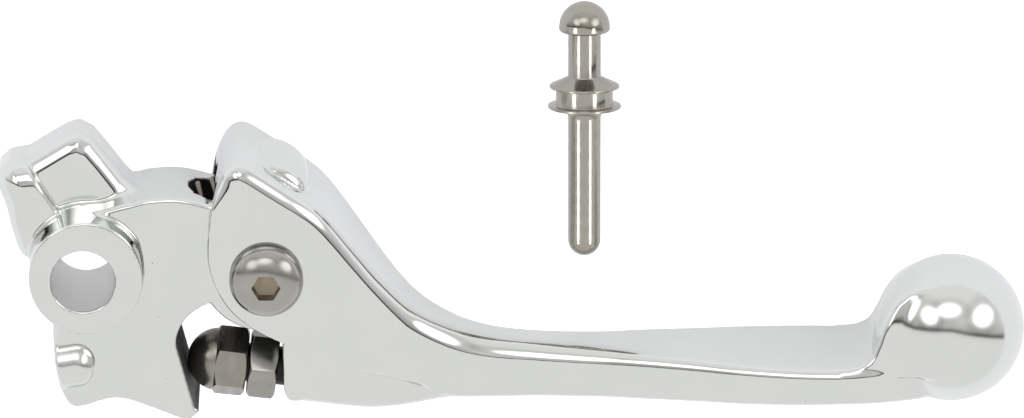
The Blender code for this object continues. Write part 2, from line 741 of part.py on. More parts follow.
def main():
    clear_scene()
    aluminium = metal("polished_aluminium", (0.80, 0.81, 0.79), 0.08)
    stainless = metal("stainless_steel", (0.45, 0.43, 0.40), 0.25)
    dark_stainless = metal("dark_stainless_steel", (0.30, 0.28, 0.26), 0.28)
    zinc = metal("zinc_plated_steel", (0.48, 0.49, 0.50), 0.30)
    spring_steel = metal("spring_steel", (0.40, 0.37, 0.32), 0.30)
    bronze = metal("bearing_bronze", (0.55, 0.38, 0.20), 0.35)
    pivot = add_empty("blade_pivot_axis", BLADE_PIVOT)
    make_knuckle(aluminium)
    make_blade(aluminium, pivot)
    make_pivot_pieces(stainless, bronze, pivot)
    make_adjuster(stainless, dark_stainless, zinc)
    make_return_spring(spring_steel)
    make_pushrod(stainless)


main()
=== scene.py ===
"""The looks of a two-piece motorcycle clutch lever and its loose pushrod.

The frame's units are metres. The object's sizes here are in millimetres, and MM takes them to the frame.
The origin is on the axis of the pivot bore, +X runs to the ball end, +Y away from the grip and +Z out of the
front. The table and the lamps, which are far larger, are in metres.
"""

import math
from functools import reduce

import bpy
import numpy as np
from mathutils import Matrix, Vector


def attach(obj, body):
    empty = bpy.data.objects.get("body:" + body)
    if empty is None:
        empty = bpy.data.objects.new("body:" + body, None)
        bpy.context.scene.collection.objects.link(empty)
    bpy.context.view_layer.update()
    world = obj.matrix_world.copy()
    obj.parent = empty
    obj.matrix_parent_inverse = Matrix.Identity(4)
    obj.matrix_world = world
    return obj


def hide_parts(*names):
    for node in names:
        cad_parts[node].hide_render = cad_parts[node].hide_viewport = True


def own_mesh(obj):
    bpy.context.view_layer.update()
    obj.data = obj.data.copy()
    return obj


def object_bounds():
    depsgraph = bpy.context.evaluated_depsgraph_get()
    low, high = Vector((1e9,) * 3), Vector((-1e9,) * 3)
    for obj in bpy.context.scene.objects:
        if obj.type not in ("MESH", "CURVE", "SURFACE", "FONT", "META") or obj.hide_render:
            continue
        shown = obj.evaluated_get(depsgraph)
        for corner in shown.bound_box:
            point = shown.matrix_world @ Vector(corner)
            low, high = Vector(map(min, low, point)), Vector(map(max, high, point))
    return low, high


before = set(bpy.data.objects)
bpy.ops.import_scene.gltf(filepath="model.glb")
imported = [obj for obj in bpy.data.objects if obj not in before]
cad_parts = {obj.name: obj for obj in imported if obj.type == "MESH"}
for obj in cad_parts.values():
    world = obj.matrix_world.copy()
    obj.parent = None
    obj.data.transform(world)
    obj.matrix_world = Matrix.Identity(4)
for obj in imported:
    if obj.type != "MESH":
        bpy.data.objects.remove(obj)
CAD_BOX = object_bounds()
MM = 0.001

# Camera: the photograph's frame, its scale and its tilt towards +Y
VIEW_WIDTH = 131.58
VIEW_CENTRE_X = 54.91
VIEW_CENTRE_UP = 6.23
VIEW_TILT_DEG = 21.0
LENS = 500.0
SENSOR = 36.0

# Shared values: the fillet where cast forms meet, the edge of a cut, how far past its end a tool runs, and
# the distance from a tool over which its finish fades out
CAST_FILLET = 0.5
CUT_EDGE = 0.2
CUT_OVERRUN = 1.0
CUT_REACH = (0.05, 0.15)

# Knuckle. A fade is the stretch along an axis over which an edge, a slope or a finish comes in.
PLATE_HALF = 6.15
PLATE_EDGE = 0.35
PLATE_TOP_EDGE = 0.65
PLATE_TOP_FADE_Y = (4.0, 8.0)
PLATE_LEFT_EDGE = 0.45
PLATE_LEFT_FADE_X = (-0.5, -2.5)
PLATE_LEFT_FADE_Y = (-5.0, -8.0)
PLATE_DRAFT = 0.23
PLATE_DRAFT_FADE_X = (7.2, 4.5)
PLATE_DRAFT_FADE_Y = (5.0, 7.0)
PLATE_UNDER_BOSS = 1.5
PLATE_UNDER_BOSS_DEG = (125.0, 234.0)
PIVOT_BORE_RADIUS = 4.15
PIVOT_BORE_EDGE = 0.3
BOSS_CENTRE = (0.35, 0.35)
BOSS_RADIUS = 7.3
BOSS_STRETCH = 1.04
BOSS_DRAFT = 0.17
BOSS_DRAFT_FADE_Y = (1.0, 5.0)
BOSS_FRONT = 8.75
BOSS_BACK = -6.55
BOSS_EDGE = 0.25
TONGUE_RADIUS = 8.6
TONGUE_DEG = (-148.0, 90.0)
BUSH_SEAT_RADIUS = 3.85
BLOCK_BACK, BLOCK_FRONT = -5.85, 3.5
STEP_BACK, STEP_FRONT = -5.55, 5.0
BLOCK_EDGE = 2.97
BLOCK_SWELL = 0.85
STEP_EDGE = 3.95
STEP_EDGE_FADE_Y = (5.0, 9.0)
STEP_EDGE_FADE_Z = (-2.0, 1.0)
STEP_CREASE_EDGE = 0.45
STEP_FILLET = 0.35
HOOK_FACE_TOP = (11.8, -9.7)
HOOK_FACE_END = (14.1, -18.4)
HOOK_TIP = (14.85, -18.8)
SOCKET_MOUTH = (-3.4, -13.1)
SOCKET_TILT_DEG = 10.0
SOCKET_HALF_HEIGHT = 4.7
SOCKET_HALF_DEPTH = 7.8
SOCKET_STRAIGHT = 2.6
SOCKET_NOSE = 3.8
SOCKET_EDGE = 0.4
SOCKET_CUP_RADIUS = 3.53
SOCKET_CUP_DEPTH = 0.92

# Painted shade on the hook's face beside the cap nut: its reach into the wall, its distance from the rims,
# and its ends and strength
HOOK_SHADE_REACH = (0.1, 0.2)
HOOK_SHADE_RIM = (0.05, 0.3)
HOOK_SHADE_FADE_X = (11.2, 11.5)
HOOK_SHADE_TOP_Y = (-7.5, -6.0)
HOOK_SHADE_FADE_Y = (-17.0, -13.0)
HOOK_SHADE_LEAST = 0.82
HOOK_SHADE_RISE = 0.15

# Blade
PIVOT = (23.5, 0.7)
HEAD_HALF = 9.5
FORK_HALF = 7.05
FORK_RADIUS = 9.1
FORK_MOUTH_DEG = 78.0
FORK_START_X = -2.355
FRONT_EAR_BORE = 3.0
BACK_EAR_BORE = 2.65
BALL_CENTRE = (111.37, -9.58)
BALL_RADIUS = 9.48
BALL_FILLET = 1.1
BALL_UNDER_FILLET = 0.6
BALL_FILLET_FADE_Y = (-17.5, -13.0)
NECK_EDGE = 0.6
NECK_BACK_SCALE = 0.94

# Return spring
SPRING_AXIS_POINT = (14.0, 6.9)
SPRING_START = 1.0
SPRING_RISE_DEG = 13.5
SPRING_RADIUS = 3.4
SPRING_WIRE = 0.78
SPRING_PITCH = 1.65
SPRING_LENGTH = 10.4
SPRING_WIRE_SIDES = 16
SPRING_TURN_STEPS = 48
SPRING_BORE = 3.8
SPRING_FLOOR_GAP = 0.1
SPRING_END_GAP = 1.05
SLOT_START = 0.2
SWING_DEG = 12.0

# Bulge on the hood, over the spring's end
BULGE_CENTRE = (25.8, 12.7)
BULGE_FALL_DEG = 33.4
BULGE_DEPTH = 0.4
BULGE_RADII = (3.8, 2.0, 9.5)
BULGE_HALF = 5.6
BULGE_EDGE = 1.3
BULGE_FILLET = 0.3

# Adjuster
ADJUSTER_POINT = (18.6, -14.2)
ADJUSTER_DROP_DEG = 6.4
SEAT_GAP = 0.25
NUT_WIDTH = 8.0
NUT_CHAMFER = 0.5
NUT_CHAMFER_DEG = 30.0
NUT_EDGE = 0.12
STUD_BORE = 2.75
CAD_DOME_RADIUS = 3.75
CAP_TIP = -3.97
CAP_DOME_RADIUS = 4.04
CAP_HEX_START = CAP_TIP + 3.5
CAP_END = CAP_TIP + 7.65
CAP_DOME_INSET = 0.1
CAP_BORE_DEPTH = 3.45
CAP_TURN_DEG = 25.3
JAM_START = CAP_TIP + 7.9
JAM_END = CAP_TIP + 11.6
JAM_TURN_DEG = -9.0
SLEEVE_START = CAP_TIP + 12.1
SLEEVE_HALF = 4.3
SLEEVE_EDGE = 1.6
SLEEVE_END_EDGE = 0.4
SLEEVE_EDGE_FADE_X = (26.0, 28.5)
SLEEVE_FILLET = 0.8
STUD_BORE_END = 18.25

# Pivot bolt
BOLT_HEAD_RADIUS = 4.75
BOLT_HEAD_HEIGHT = 3.3
BOLT_HEAD_RIM = 0.35
BOLT_HEAD_CHAMFER = 0.15
BOLT_EDGE = 0.07
BOLT_SOCKET_WIDTH = 3.25
BOLT_SOCKET_DEPTH = 2.2
BOLT_SOCKET_TURN_DEG = 30.0
BOLT_KEY_OVERRUN = 5.0
BOLT_SHOULDER_RADIUS = 2.75
BOLT_THREAD_RADIUS = 2.4
BOLT_POINT_CHAMFER = 0.4
# The socket's faces: within this many of its widths from the axis, and this far below the top
BROACHED_WIDTHS = 0.6
BROACHED_TOP = 0.4

# Pushrod. Its ends and its tip are counted from the top of its head.
PUSHROD_X = 64.2
PUSHROD_HEAD_Y = 32.6
PUSHROD_HEAD_RADIUS = 3.28
PUSHROD_COLLAR_RADIUS = 4.52
PUSHROD_FLANGE_RADIUS = 4.72
PUSHROD_GROOVE_RADIUS = 3.68
PUSHROD_ROD_RADIUS = 2.1
PUSHROD_HEAD_CHAMFER = 0.25
PUSHROD_FILLET_RADIUS = 1.6
PUSHROD_FILLET_LENGTH = 1.4
PUSHROD_EDGE = 0.12
PUSHROD_HEAD_END = 3.95
PUSHROD_NECK_END = 9.8
PUSHROD_CONE_END = 10.95
PUSHROD_COLLAR_END = 11.25
PUSHROD_GROOVE_END = 13.5
PUSHROD_FLANGE_END = 13.9
PUSHROD_TIP = 33.3

# Outlines of the knuckle
HOOK_OUTLINE = (
    (-3.6, -9.0),
    (-3.7, -12.7),
    (-2.95, -15.9),
    (-2.25, -17.55),
    (-1.35, -18.25),
    (0.3, -18.05),
    (1.85, -17.5),
    (4.0, -17.05),
    (6.3, -17.5),
    (9.4, -18.7),
    (12.2, -19.8),
    (13.6, -19.95),
)
WINDOW_OUTLINE = ((11.9, -8.6), (12.5, -7.0), (13.4, -5.7), (14.8, -4.6))
PLATE_TOP_OUTLINE = (
    (16.3, 9.4),
    (12.5, 10.3),
    (8.6, 10.2),
    (6.3, 9.6),
    (2.5, 8.52),
    (0.0, 7.8),
    (-2.3, 7.16),
)
BLOCK_OUTLINE = (
    (-6.0, 1.0),
    (6.0, 2.5),
    (6.3, 9.3),
    (4.75, 10.9),
    (2.35, 14.2),
    (0.75, 16.25),
    (-0.6, 17.0),
    (-1.9, 16.55),
    (-6.9, 13.4),
    (-9.8, 11.4),
)
STEP_OUTLINE = (
    (-4.0, 1.0),
    (2.0, 3.0),
    (0.0, 13.7),
    (-7.2, 13.5),
    (-9.0, 13.2),
    (-10.0, 12.3),
    (-10.2, 10.8),
    (-9.15, 8.1),
    (-8.4, 5.2),
    (-7.7, 2.75),
    (-7.2, 1.9),
)
STEP_CREASE = ((-6.65, 13.3), (-1.85, 5.85))

# Outline of the blade: the ears' left edge and the hood, the handle's top, and its underside from the ball
HEAD_OUTLINE = (
    (25.7, -8.4),
    (21.5, -6.3),
    (18.6, -3.7),
    (17.0, -0.8),
    (16.1, 1.9),
    (15.9, 4.7),
    (16.2, 7.9),
    (16.7, 11.2),
    (17.57, 13.95),
    (18.8, 15.65),
    (20.4, 16.1),
    (22.1, 15.2),
    (25.0, 13.2),
    (28.1, 11.1),
)
# Points of that outline: the last one on the ears' underside, and the first on top of the hood
EAR_UNDERSIDE_END = 2
HOOD_TOP_START = 9
HANDLE_TOP = (
    (30.6, 9.15),
    (33.0, 6.1),
    (35.6, 2.6),
    (38.2, -0.87),
    (40.7, -3.98),
    (43.3, -6.34),
    (45.9, -7.8),
    (48.4, -8.95),
    (51.0, -9.68),
    (53.6, -10.17),
    (58.7, -10.7),
    (66.4, -11.2),
    (79.3, -11.75),
    (92.1, -12.4),
    (112.0, -12.4),
)
HANDLE_BOTTOM = (
    (110.0, -17.3),
    (104.0, -17.15),
    (98.6, -17.15),
    (84.4, -17.45),
    (61.0, -17.8),
    (53.6, -17.9),
    (48.4, -17.65),
    (44.6, -16.3),
    (40.7, -14.8),
    (35.6, -12.9),
    (31.7, -11.1),
)
SLEEVE_OUTLINE = (
    (25.4, -7.0),
    (25.45, -13.0),
    (25.6, -16.6),
    (26.0, -17.9),
    (27.2, -18.45),
    (33.0, -19.2),
    (37.1, -19.5),
    (41.2, -19.1),
    (45.4, -18.3),
    (50.0, -17.5),
)
SLEEVE_INSIDE = ((50.0, -13.0), (36.0, -7.0))
# Neck that rises from the handle's top into the ball, and its depth along Y to the back and to the front
NECK_OUTLINE = (
    (97.0, -12.5),
    (99.2, -12.1),
    (100.9, -11.1),
    (101.9, -9.2),
    (102.9, -6.65),
    (103.9, -4.8),
    (104.95, -3.5),
    (106.5, -2.55),
    (108.5, -2.3),
    (111.0, -3.0),
)
NECK_INSIDE = ((111.0, -13.5), (97.0, -13.5))
NECK_BACK = ((-14.0, 8.4), (-12.5, 8.2), (-9.0, 7.0), (-6.4, 6.0), (-3.4, 4.9), (-2.0, 4.4))
NECK_FRONT = ((-14.0, 8.5), (-12.5, 8.2), (-9.0, 7.5), (-6.4, 6.95), (-3.4, 5.75), (-2.0, 4.7))
# Half depth of the blade along X
DEPTH_STATIONS = (
    (10.0, 9.5),
    (22.0, 9.5),
    (25.5, 9.5),
    (28.0, 9.5),
    (30.5, 9.3),
    (33.0, 8.8),
    (35.6, 7.95),
    (38.2, 6.9),
    (40.7, 6.1),
    (43.3, 5.3),
    (48.4, 4.45),
    (53.6, 4.05),
    (58.7, 4.05),
    (66.4, 4.7),
    (71.6, 5.6),
    (79.3, 6.9),
    (84.4, 7.9),
    (92.1, 8.75),
    (100.0, 8.7),
    (103.0, 8.2),
    (107.0, 6.8),
    (110.0, 5.0),
    (120.0, 1.0),
)
# Radius of the blade's upper and lower edges along X. One fades into the other over a stretch of Y that is
# in the middle of the handle, and higher up on the head.
EDGE_FADE_Y = (-2.0, 3.0)
HEAD_FADE_RISE = 5.0
HEAD_FADE_X = (24.0, 32.0)
TOP_EDGE_STATIONS = (
    (10.0, 2.6),
    (24.0, 2.6),
    (28.0, 2.4),
    (33.0, 2.2),
    (38.2, 2.3),
    (43.3, 2.7),
    (48.4, 3.0),
    (53.6, 3.1),
    (60.0, 2.9),
    (66.4, 2.6),
    (71.6, 2.2),
    (80.0, 1.9),
    (92.1, 1.6),
    (120.0, 1.5),
)
BOTTOM_EDGE_STATIONS = ((10.0, 0.7), (30.0, 0.6), (48.4, 1.0), (120.0, 1.0))

# Curves and the castings' distance fields

TONGUE_STEPS = 60
BOSS_STEPS = 20
STATION_STEPS = 12
TINY = 1e-6


def smooth(points, per_span=8):
    """Points on a Catmull-Rom curve through the given ones."""
    rows = np.array(points)
    rows = np.vstack((2 * rows[0] - rows[1], rows, 2 * rows[-1] - rows[-2]))
    t = np.arange(per_span)[:, None] / per_span
    spans = []
    for before, start, end, after in zip(rows, rows[1:], rows[2:], rows[3:]):
        curve = 2 * start + (end - before) * t
        curve = curve + (2 * before - 5 * start + 4 * end - after) * t**2
        spans.append((curve + (3 * start - before - 3 * end + after) * t**3) / 2)
    return np.vstack((*spans, rows[-2]))


def relaxed(points, rounds=24):
    """A curve with the sudden changes in its bend evened out."""
    for _ in range(rounds):
        points = np.vstack((points[0], (points[:-2] + 2 * points[1:-1] + points[2:]) / 4, points[-1]))
    return points


def arc(centre, radius, ends_deg, steps):
    angles = np.radians(np.linspace(*ends_deg, steps))
    return np.stack((centre[0] + radius * np.cos(angles), centre[1] + radius * np.sin(angles)), axis=1)


def along_x(stations):
    """A smooth value along X through the given stations."""
    fine = smooth(stations, STATION_STEPS)
    return lambda x: np.interp(x, fine[:, 0], fine[:, 1])


def ramp(value, start, end):
    """0 before start, 1 past end, and smooth between. The end may be the lower of the two."""
    t = np.clip((value - start) / (end - start), 0, 1)
    return t * t * (3 - 2 * t)


def spline_weights(t):
    """The shares of four grid lines in a uniform cubic B-spline, a part t of the way past the second."""
    s = 1 - t
    return s**3 / 6, (4 - 6 * t**2 + 3 * t**3) / 6, (4 - 6 * s**2 + 3 * s**3) / 6, t**3 / 6


OUTLINE_GRID = 0.3
OUTLINE_MARGIN = 5.0
# The spline reads four grid lines, so places stop this many cells short of the grid's far rim
OUTLINE_RIM = 3.001
SHORTEST_SIDE = 1e-12


def outline_field(points):
    """Distance to a closed outline, below 0 inside. It is kept on a grid and read back through a cubic
    spline, which leaves no facets on the polished walls."""
    points = np.array(points)
    low = points.min(axis=0) - OUTLINE_MARGIN
    counts = np.ceil((points.max(axis=0) + OUTLINE_MARGIN - low) / OUTLINE_GRID).astype(int) + 1
    x = (low[0] + OUTLINE_GRID * np.arange(counts[0]))[:, None]
    y = (low[1] + OUTLINE_GRID * np.arange(counts[1]))[None, :]
    distance = np.full(counts, np.inf)
    inside = np.zeros(counts, bool)
    for start, end in zip(points, np.roll(points, -1, axis=0)):
        side = end - start
        share = ((x - start[0]) * side[0] + (y - start[1]) * side[1]) / max(side @ side, SHORTEST_SIDE)
        share = np.clip(share, 0, 1)
        to_side = np.hypot(x - start[0] - share * side[0], y - start[1] - share * side[1])
        distance = np.minimum(distance, to_side)
        if side[1]:
            level = (y > start[1]) != (y > end[1])
            inside ^= level & (x < start[0] + (y - start[1]) * side[0] / side[1])
    values = np.where(inside, -distance, distance)

    def field(x, y):
        columns = []
        for value, first, count in zip((x, y), low, counts):
            place = np.clip((value - first) / OUTLINE_GRID, 1, count - OUTLINE_RIM)
            cell = np.floor(place).astype(int)
            columns.append((cell, spline_weights(place - cell)))
        (i, weights_x), (j, weights_y) = columns
        total = 0
        for a, weight_x in enumerate(weights_x):
            for b, weight_y in enumerate(weights_y):
                total = total + weight_x * weight_y * values[i + a - 1, j + b - 1]
        return total

    return field


def joined(a, b, fillet):
    """Both shapes, with a round fillet in the corner between them."""
    corner = np.hypot(np.maximum(fillet - a, 0), np.maximum(fillet - b, 0))
    return np.maximum(fillet, np.minimum(a, b)) - corner


def shared(a, b, edge):
    """What lies in both shapes, with the edge between them rounded."""
    corner = np.hypot(np.maximum(edge + a, 0), np.maximum(edge + b, 0))
    return np.minimum(-edge, np.maximum(a, b)) + corner


def without(a, tool, edge):
    """A shape with a tool's shape cut away."""
    return shared(a, -tool, edge)


def between(value, low, high):
    return np.maximum(low - value, value - high)


def cut_by(*tools):
    """1 on the surfaces that these tools cut, and 0 away from them."""
    return 1 - ramp(reduce(np.minimum, tools), *CUT_REACH)


def on_axis(origin, angle_deg):
    """Along and across an axis in XY, as a function of the place."""
    cos, sin = math.cos(math.radians(angle_deg)), math.sin(math.radians(angle_deg))

    def split(x, y):
        dx, dy = x - origin[0], y - origin[1]
        return dx * cos + dy * sin, dy * cos - dx * sin

    return split


def swung(point, centre, angle_deg):
    """A point in XY turned about a centre."""
    cos, sin = math.cos(math.radians(angle_deg)), math.sin(math.radians(angle_deg))
    dx, dy = point[0] - centre[0], point[1] - centre[1]
    return centre[0] + dx * cos - dy * sin, centre[1] + dx * sin + dy * cos


def adjuster_axis():
    """The cap nut's dome centre in the solids, and the way inward along the screw."""
    angle = math.radians(ADJUSTER_DROP_DEG)
    inward = np.array((math.cos(angle), -math.sin(angle)))
    top, end = np.array(HOOK_FACE_TOP), np.array(HOOK_FACE_END)
    face = (end - top) / np.linalg.norm(end - top)
    normal = np.array((-face[1], face[0]))
    point = np.array(ADJUSTER_POINT)
    reach = CAD_DOME_RADIUS + SEAT_GAP - normal @ (point - top)
    return point + inward * (reach / (normal @ inward)), inward


def ellipsoid(places, radii):
    """About the distance to an ellipsoid, from places along its axes."""
    swell = np.sqrt(sum((p / r) ** 2 for p, r in zip(places, radii))) + TINY
    slope = np.sqrt(sum((p / r**2) ** 2 for p, r in zip(places, radii))) + TINY
    return swell * (swell - 1) / slope


def knuckle_shape():
    """The knuckle's distance field, and where it is machined or darkened by painted shade."""
    plate_runs = (
        smooth(HOOK_OUTLINE),
        HOOK_TIP,
        HOOK_FACE_END,
        smooth((HOOK_FACE_TOP, *WINDOW_OUTLINE)),
        arc(PIVOT, TONGUE_RADIUS, TONGUE_DEG, TONGUE_STEPS),
        smooth(PLATE_TOP_OUTLINE),
        arc((0, 0), BOSS_RADIUS - PLATE_UNDER_BOSS, PLATE_UNDER_BOSS_DEG, BOSS_STEPS),
    )
    plate_outline = outline_field(np.vstack(plate_runs))
    block_outline = outline_field(BLOCK_OUTLINE)
    step_outline = outline_field(STEP_OUTLINE)
    socket = on_axis(SOCKET_MOUTH, SOCKET_TILT_DEG)
    spring = on_axis(SPRING_AXIS_POINT, SPRING_RISE_DEG)
    crease_start, crease_end = np.array(STEP_CREASE)
    crease = (crease_end - crease_start) / np.linalg.norm(crease_end - crease_start)

    def tools(x, y, z):
        """The bores, the spring's slot and the pushrod's seat. A bore has the same value at every Z."""
        bore = np.hypot(x, y) - PIVOT_BORE_RADIUS + 0 * z
        bush = np.hypot(x - PIVOT[0], y - PIVOT[1]) - BUSH_SEAT_RADIUS + 0 * z
        run, rise = spring(x, y)
        middle = np.maximum(SLOT_START + SPRING_BORE - run, 0)
        slot = np.maximum(np.hypot(middle, z) - SPRING_BORE, -rise)
        spring_bore = np.maximum(np.hypot(rise, z) - SPRING_BORE, SPRING_START - SPRING_FLOOR_GAP - run)
        depth, across = socket(x, y)
        deeper = np.maximum(depth - SOCKET_CUP_DEPTH, 0)
        seat = np.sqrt(across**2 + z**2 + deeper**2) - SOCKET_CUP_RADIUS
        return bore, bush, np.minimum(slot, spring_bore), seat

    def shape(x, y, z):
        edge = PLATE_EDGE + (PLATE_TOP_EDGE - PLATE_EDGE) * ramp(y, *PLATE_TOP_FADE_Y)
        left = (PLATE_LEFT_EDGE - PLATE_EDGE) * ramp(x, *PLATE_LEFT_FADE_X)
        edge = edge + left * ramp(y, *PLATE_LEFT_FADE_Y)
        draft = PLATE_DRAFT * (np.clip(z, BLOCK_FRONT, PLATE_HALF) - PLATE_HALF)
        draft = draft * ramp(y, *PLATE_DRAFT_FADE_Y) * ramp(x, *PLATE_DRAFT_FADE_X)
        plate = shared(plate_outline(x, y) + draft, np.abs(z) - PLATE_HALF, edge)
        boss = np.hypot(x - BOSS_CENTRE[0], (y - BOSS_CENTRE[1]) / BOSS_STRETCH) - BOSS_RADIUS
        draft = BOSS_DRAFT * (np.clip(z, BLOCK_FRONT, BOSS_FRONT) - BOSS_FRONT)
        boss = boss + draft * ramp(y, *BOSS_DRAFT_FADE_Y)
        boss = shared(boss, between(z, BOSS_BACK, BOSS_FRONT), BOSS_EDGE)
        block = shared(block_outline(x, y) - BLOCK_SWELL, between(z, BLOCK_BACK, BLOCK_FRONT), BLOCK_EDGE)
        from_crease = (y - crease_start[1]) * crease[0] - (x - crease_start[0]) * crease[1]
        front = (STEP_EDGE - BLOCK_EDGE) * ramp(z, *STEP_EDGE_FADE_Z)
        step_edge = BLOCK_EDGE + front * ramp(y, *STEP_EDGE_FADE_Y)
        step = shared(step_outline(x, y) - BLOCK_SWELL, between(z, STEP_BACK, STEP_FRONT), step_edge)
        step = shared(step, from_crease + 0 * z, STEP_CREASE_EDGE)
        depth, across = socket(x, y)
        nose = np.maximum(depth - SOCKET_STRAIGHT, 0)
        radii = (SOCKET_HALF_HEIGHT, SOCKET_HALF_DEPTH, SOCKET_NOSE)
        barrel = shared(ellipsoid((across, z, nose), radii), -depth, SOCKET_EDGE)
        body = plate
        for form in (boss, joined(block, step, STEP_FILLET), barrel):
            body = joined(body, form, CAST_FILLET)
        bore, *others = tools(x, y, z)
        body = without(body, bore, PIVOT_BORE_EDGE)
        for tool in others:
            body = without(body, tool, CUT_EDGE)
        return body

    # Painted shade: the spring's slot and the hook's face beside the cap nut are darkened as if in shade
    def finish(x, y, z):
        bore, bush, slot, seat = tools(x, y, z)
        off_wall = np.abs(plate_outline(x, y))
        wall = (1 - ramp(off_wall, *HOOK_SHADE_REACH)) * ramp(PLATE_HALF - np.abs(z), *HOOK_SHADE_RIM)
        hook_shade = wall * ramp(x, *HOOK_SHADE_FADE_X) * (1 - ramp(y, *HOOK_SHADE_TOP_Y))
        hook_shade = hook_shade * (HOOK_SHADE_LEAST + HOOK_SHADE_RISE * ramp(y, *HOOK_SHADE_FADE_Y))
        return cut_by(bore, bush, slot, seat), np.maximum(cut_by(slot), hook_shade)

    return shape, finish


def blade_shape():
    """The blade's distance field, and where it is machined or darkened by painted shade."""
    upper_run = relaxed(smooth((*HEAD_OUTLINE, *HANDLE_TOP)))
    lower_run = smooth((*HANDLE_BOTTOM, HEAD_OUTLINE[0]))[:-1]
    side_outline = outline_field(np.vstack((upper_run, lower_run)))
    half_depth = along_x(DEPTH_STATIONS)
    top_edge = along_x(TOP_EDGE_STATIONS)
    bottom_edge = along_x(BOTTOM_EDGE_STATIONS)
    upper = along_x((*HEAD_OUTLINE[HOOD_TOP_START:], *HANDLE_TOP))
    lower = along_x((*HEAD_OUTLINE[EAR_UNDERSIDE_END::-1], *HANDLE_BOTTOM[::-1]))
    sleeve_outline = outline_field(np.vstack((smooth(SLEEVE_OUTLINE), SLEEVE_INSIDE)))
    neck_outline = outline_field(np.vstack((smooth(NECK_OUTLINE), NECK_INSIDE)))
    neck_back = along_x(NECK_BACK)
    neck_front = along_x(NECK_FRONT)
    dome, _ = adjuster_axis()
    screw = on_axis(dome, -ADJUSTER_DROP_DEG)
    bulge_slope = on_axis(BULGE_CENTRE, -BULGE_FALL_DEG)
    spring = on_axis(SPRING_AXIS_POINT, SPRING_RISE_DEG)
    spring_swung = on_axis(swung(SPRING_AXIS_POINT, PIVOT, -SWING_DEG), SPRING_RISE_DEG - SWING_DEG)
    pocket_end = SPRING_START + SPRING_LENGTH + SPRING_END_GAP
    mouth = math.radians(FORK_MOUTH_DEG)

    def tools(x, y, z):
        """The space between the ears, the spring's pocket and the bores."""
        dx, dy = x - PIVOT[0], y - PIVOT[1]
        over = dx * math.cos(mouth) + dy * math.sin(mouth) - FORK_RADIUS
        beside = dx * math.sin(mouth) - dy * math.cos(mouth)
        upper_mouth = reduce(np.maximum, (over, beside, -dy))
        lower_mouth = np.maximum(dx - FORK_START_X, dy)
        radius = np.hypot(dx, dy)
        opening = reduce(np.minimum, (radius - FORK_RADIUS, upper_mouth, lower_mouth))
        fork = np.maximum(opening, np.abs(z) - FORK_HALF)
        run, rise = spring(x, y)
        _, rise_swung = spring_swung(x, y)
        nearer = np.minimum(np.hypot(rise, z), np.hypot(rise_swung, z))
        pocket = np.maximum(nearer - SPRING_BORE, between(run, 0, pocket_end))
        ears = np.where(z > 0, radius - FRONT_EAR_BORE, radius - BACK_EAR_BORE)
        deep, across = screw(x, y)
        stud = np.hypot(across, z) - STUD_BORE
        stud = np.maximum(stud, between(deep, SLEEVE_START - CUT_OVERRUN, STUD_BORE_END))
        return fork, pocket, ears, stud

    def shape(x, y, z):
        middle = (upper(x) + lower(x)) / 2
        rise = y - middle - HEAD_FADE_RISE * (1 - ramp(x, *HEAD_FADE_X))
        edge = bottom_edge(x) + (top_edge(x) - bottom_edge(x)) * ramp(rise, *EDGE_FADE_Y)
        body = shared(side_outline(x, y), np.abs(z) - half_depth(x), edge)
        ball = np.sqrt((x - BALL_CENTRE[0]) ** 2 + (y - BALL_CENTRE[1]) ** 2 + z**2) - BALL_RADIUS
        ball_fillet = BALL_UNDER_FILLET + (BALL_FILLET - BALL_UNDER_FILLET) * ramp(y, *BALL_FILLET_FADE_Y)
        body = joined(body, ball, ball_fillet)
        neck_sides = np.maximum(z - neck_front(y), NECK_BACK_SCALE * (-z - neck_back(y)))
        neck = shared(neck_outline(x, y), neck_sides, NECK_EDGE)
        body = joined(body, neck, CAST_FILLET)
        sleeve_edge = SLEEVE_END_EDGE + (SLEEVE_EDGE - SLEEVE_END_EDGE) * ramp(x, *SLEEVE_EDGE_FADE_X)
        sleeve = shared(sleeve_outline(x, y), np.abs(z) - SLEEVE_HALF, sleeve_edge)
        body = joined(body, sleeve, SLEEVE_FILLET)
        down, over = bulge_slope(x, y)
        bulge = ellipsoid((down, over + BULGE_DEPTH, z), BULGE_RADII)
        bulge = shared(bulge, np.abs(z) - BULGE_HALF, BULGE_EDGE)
        body = joined(body, bulge, BULGE_FILLET)
        for tool in tools(x, y, z):
            body = without(body, tool, CUT_EDGE)
        return body

    # Painted shade: the space between the ears and the spring's pocket are darkened as if in shade
    def finish(x, y, z):
        fork, pocket, ears, stud = tools(x, y, z)
        return cut_by(fork, pocket, ears, stud), cut_by(fork, pocket)

    return shape, finish


# Castings

CASTING_GRID = 0.3
NEWTON_STEPS = 3
NORMAL_STEP = 0.06
LEAST_SLOPE = 0.25
LEAST_NORMAL = 1e-9
# Lowest and highest corners of the space that each casting is meshed in
KNUCKLE_SPACE = ((-13.0, -21.5, -10.0), (33.5, 19.4, 10.2))
BLADE_SPACE = ((14.3, -22.2, -11.0), (122.5, 17.2, 11.2))


def gradient(shape, points, step):
    columns = []
    for axis in range(3):
        shift = np.zeros(3)
        shift[axis] = step
        columns.append((shape(*(points + shift).T) - shape(*(points - shift).T)) / (2 * step))
    return np.stack(columns, axis=1)


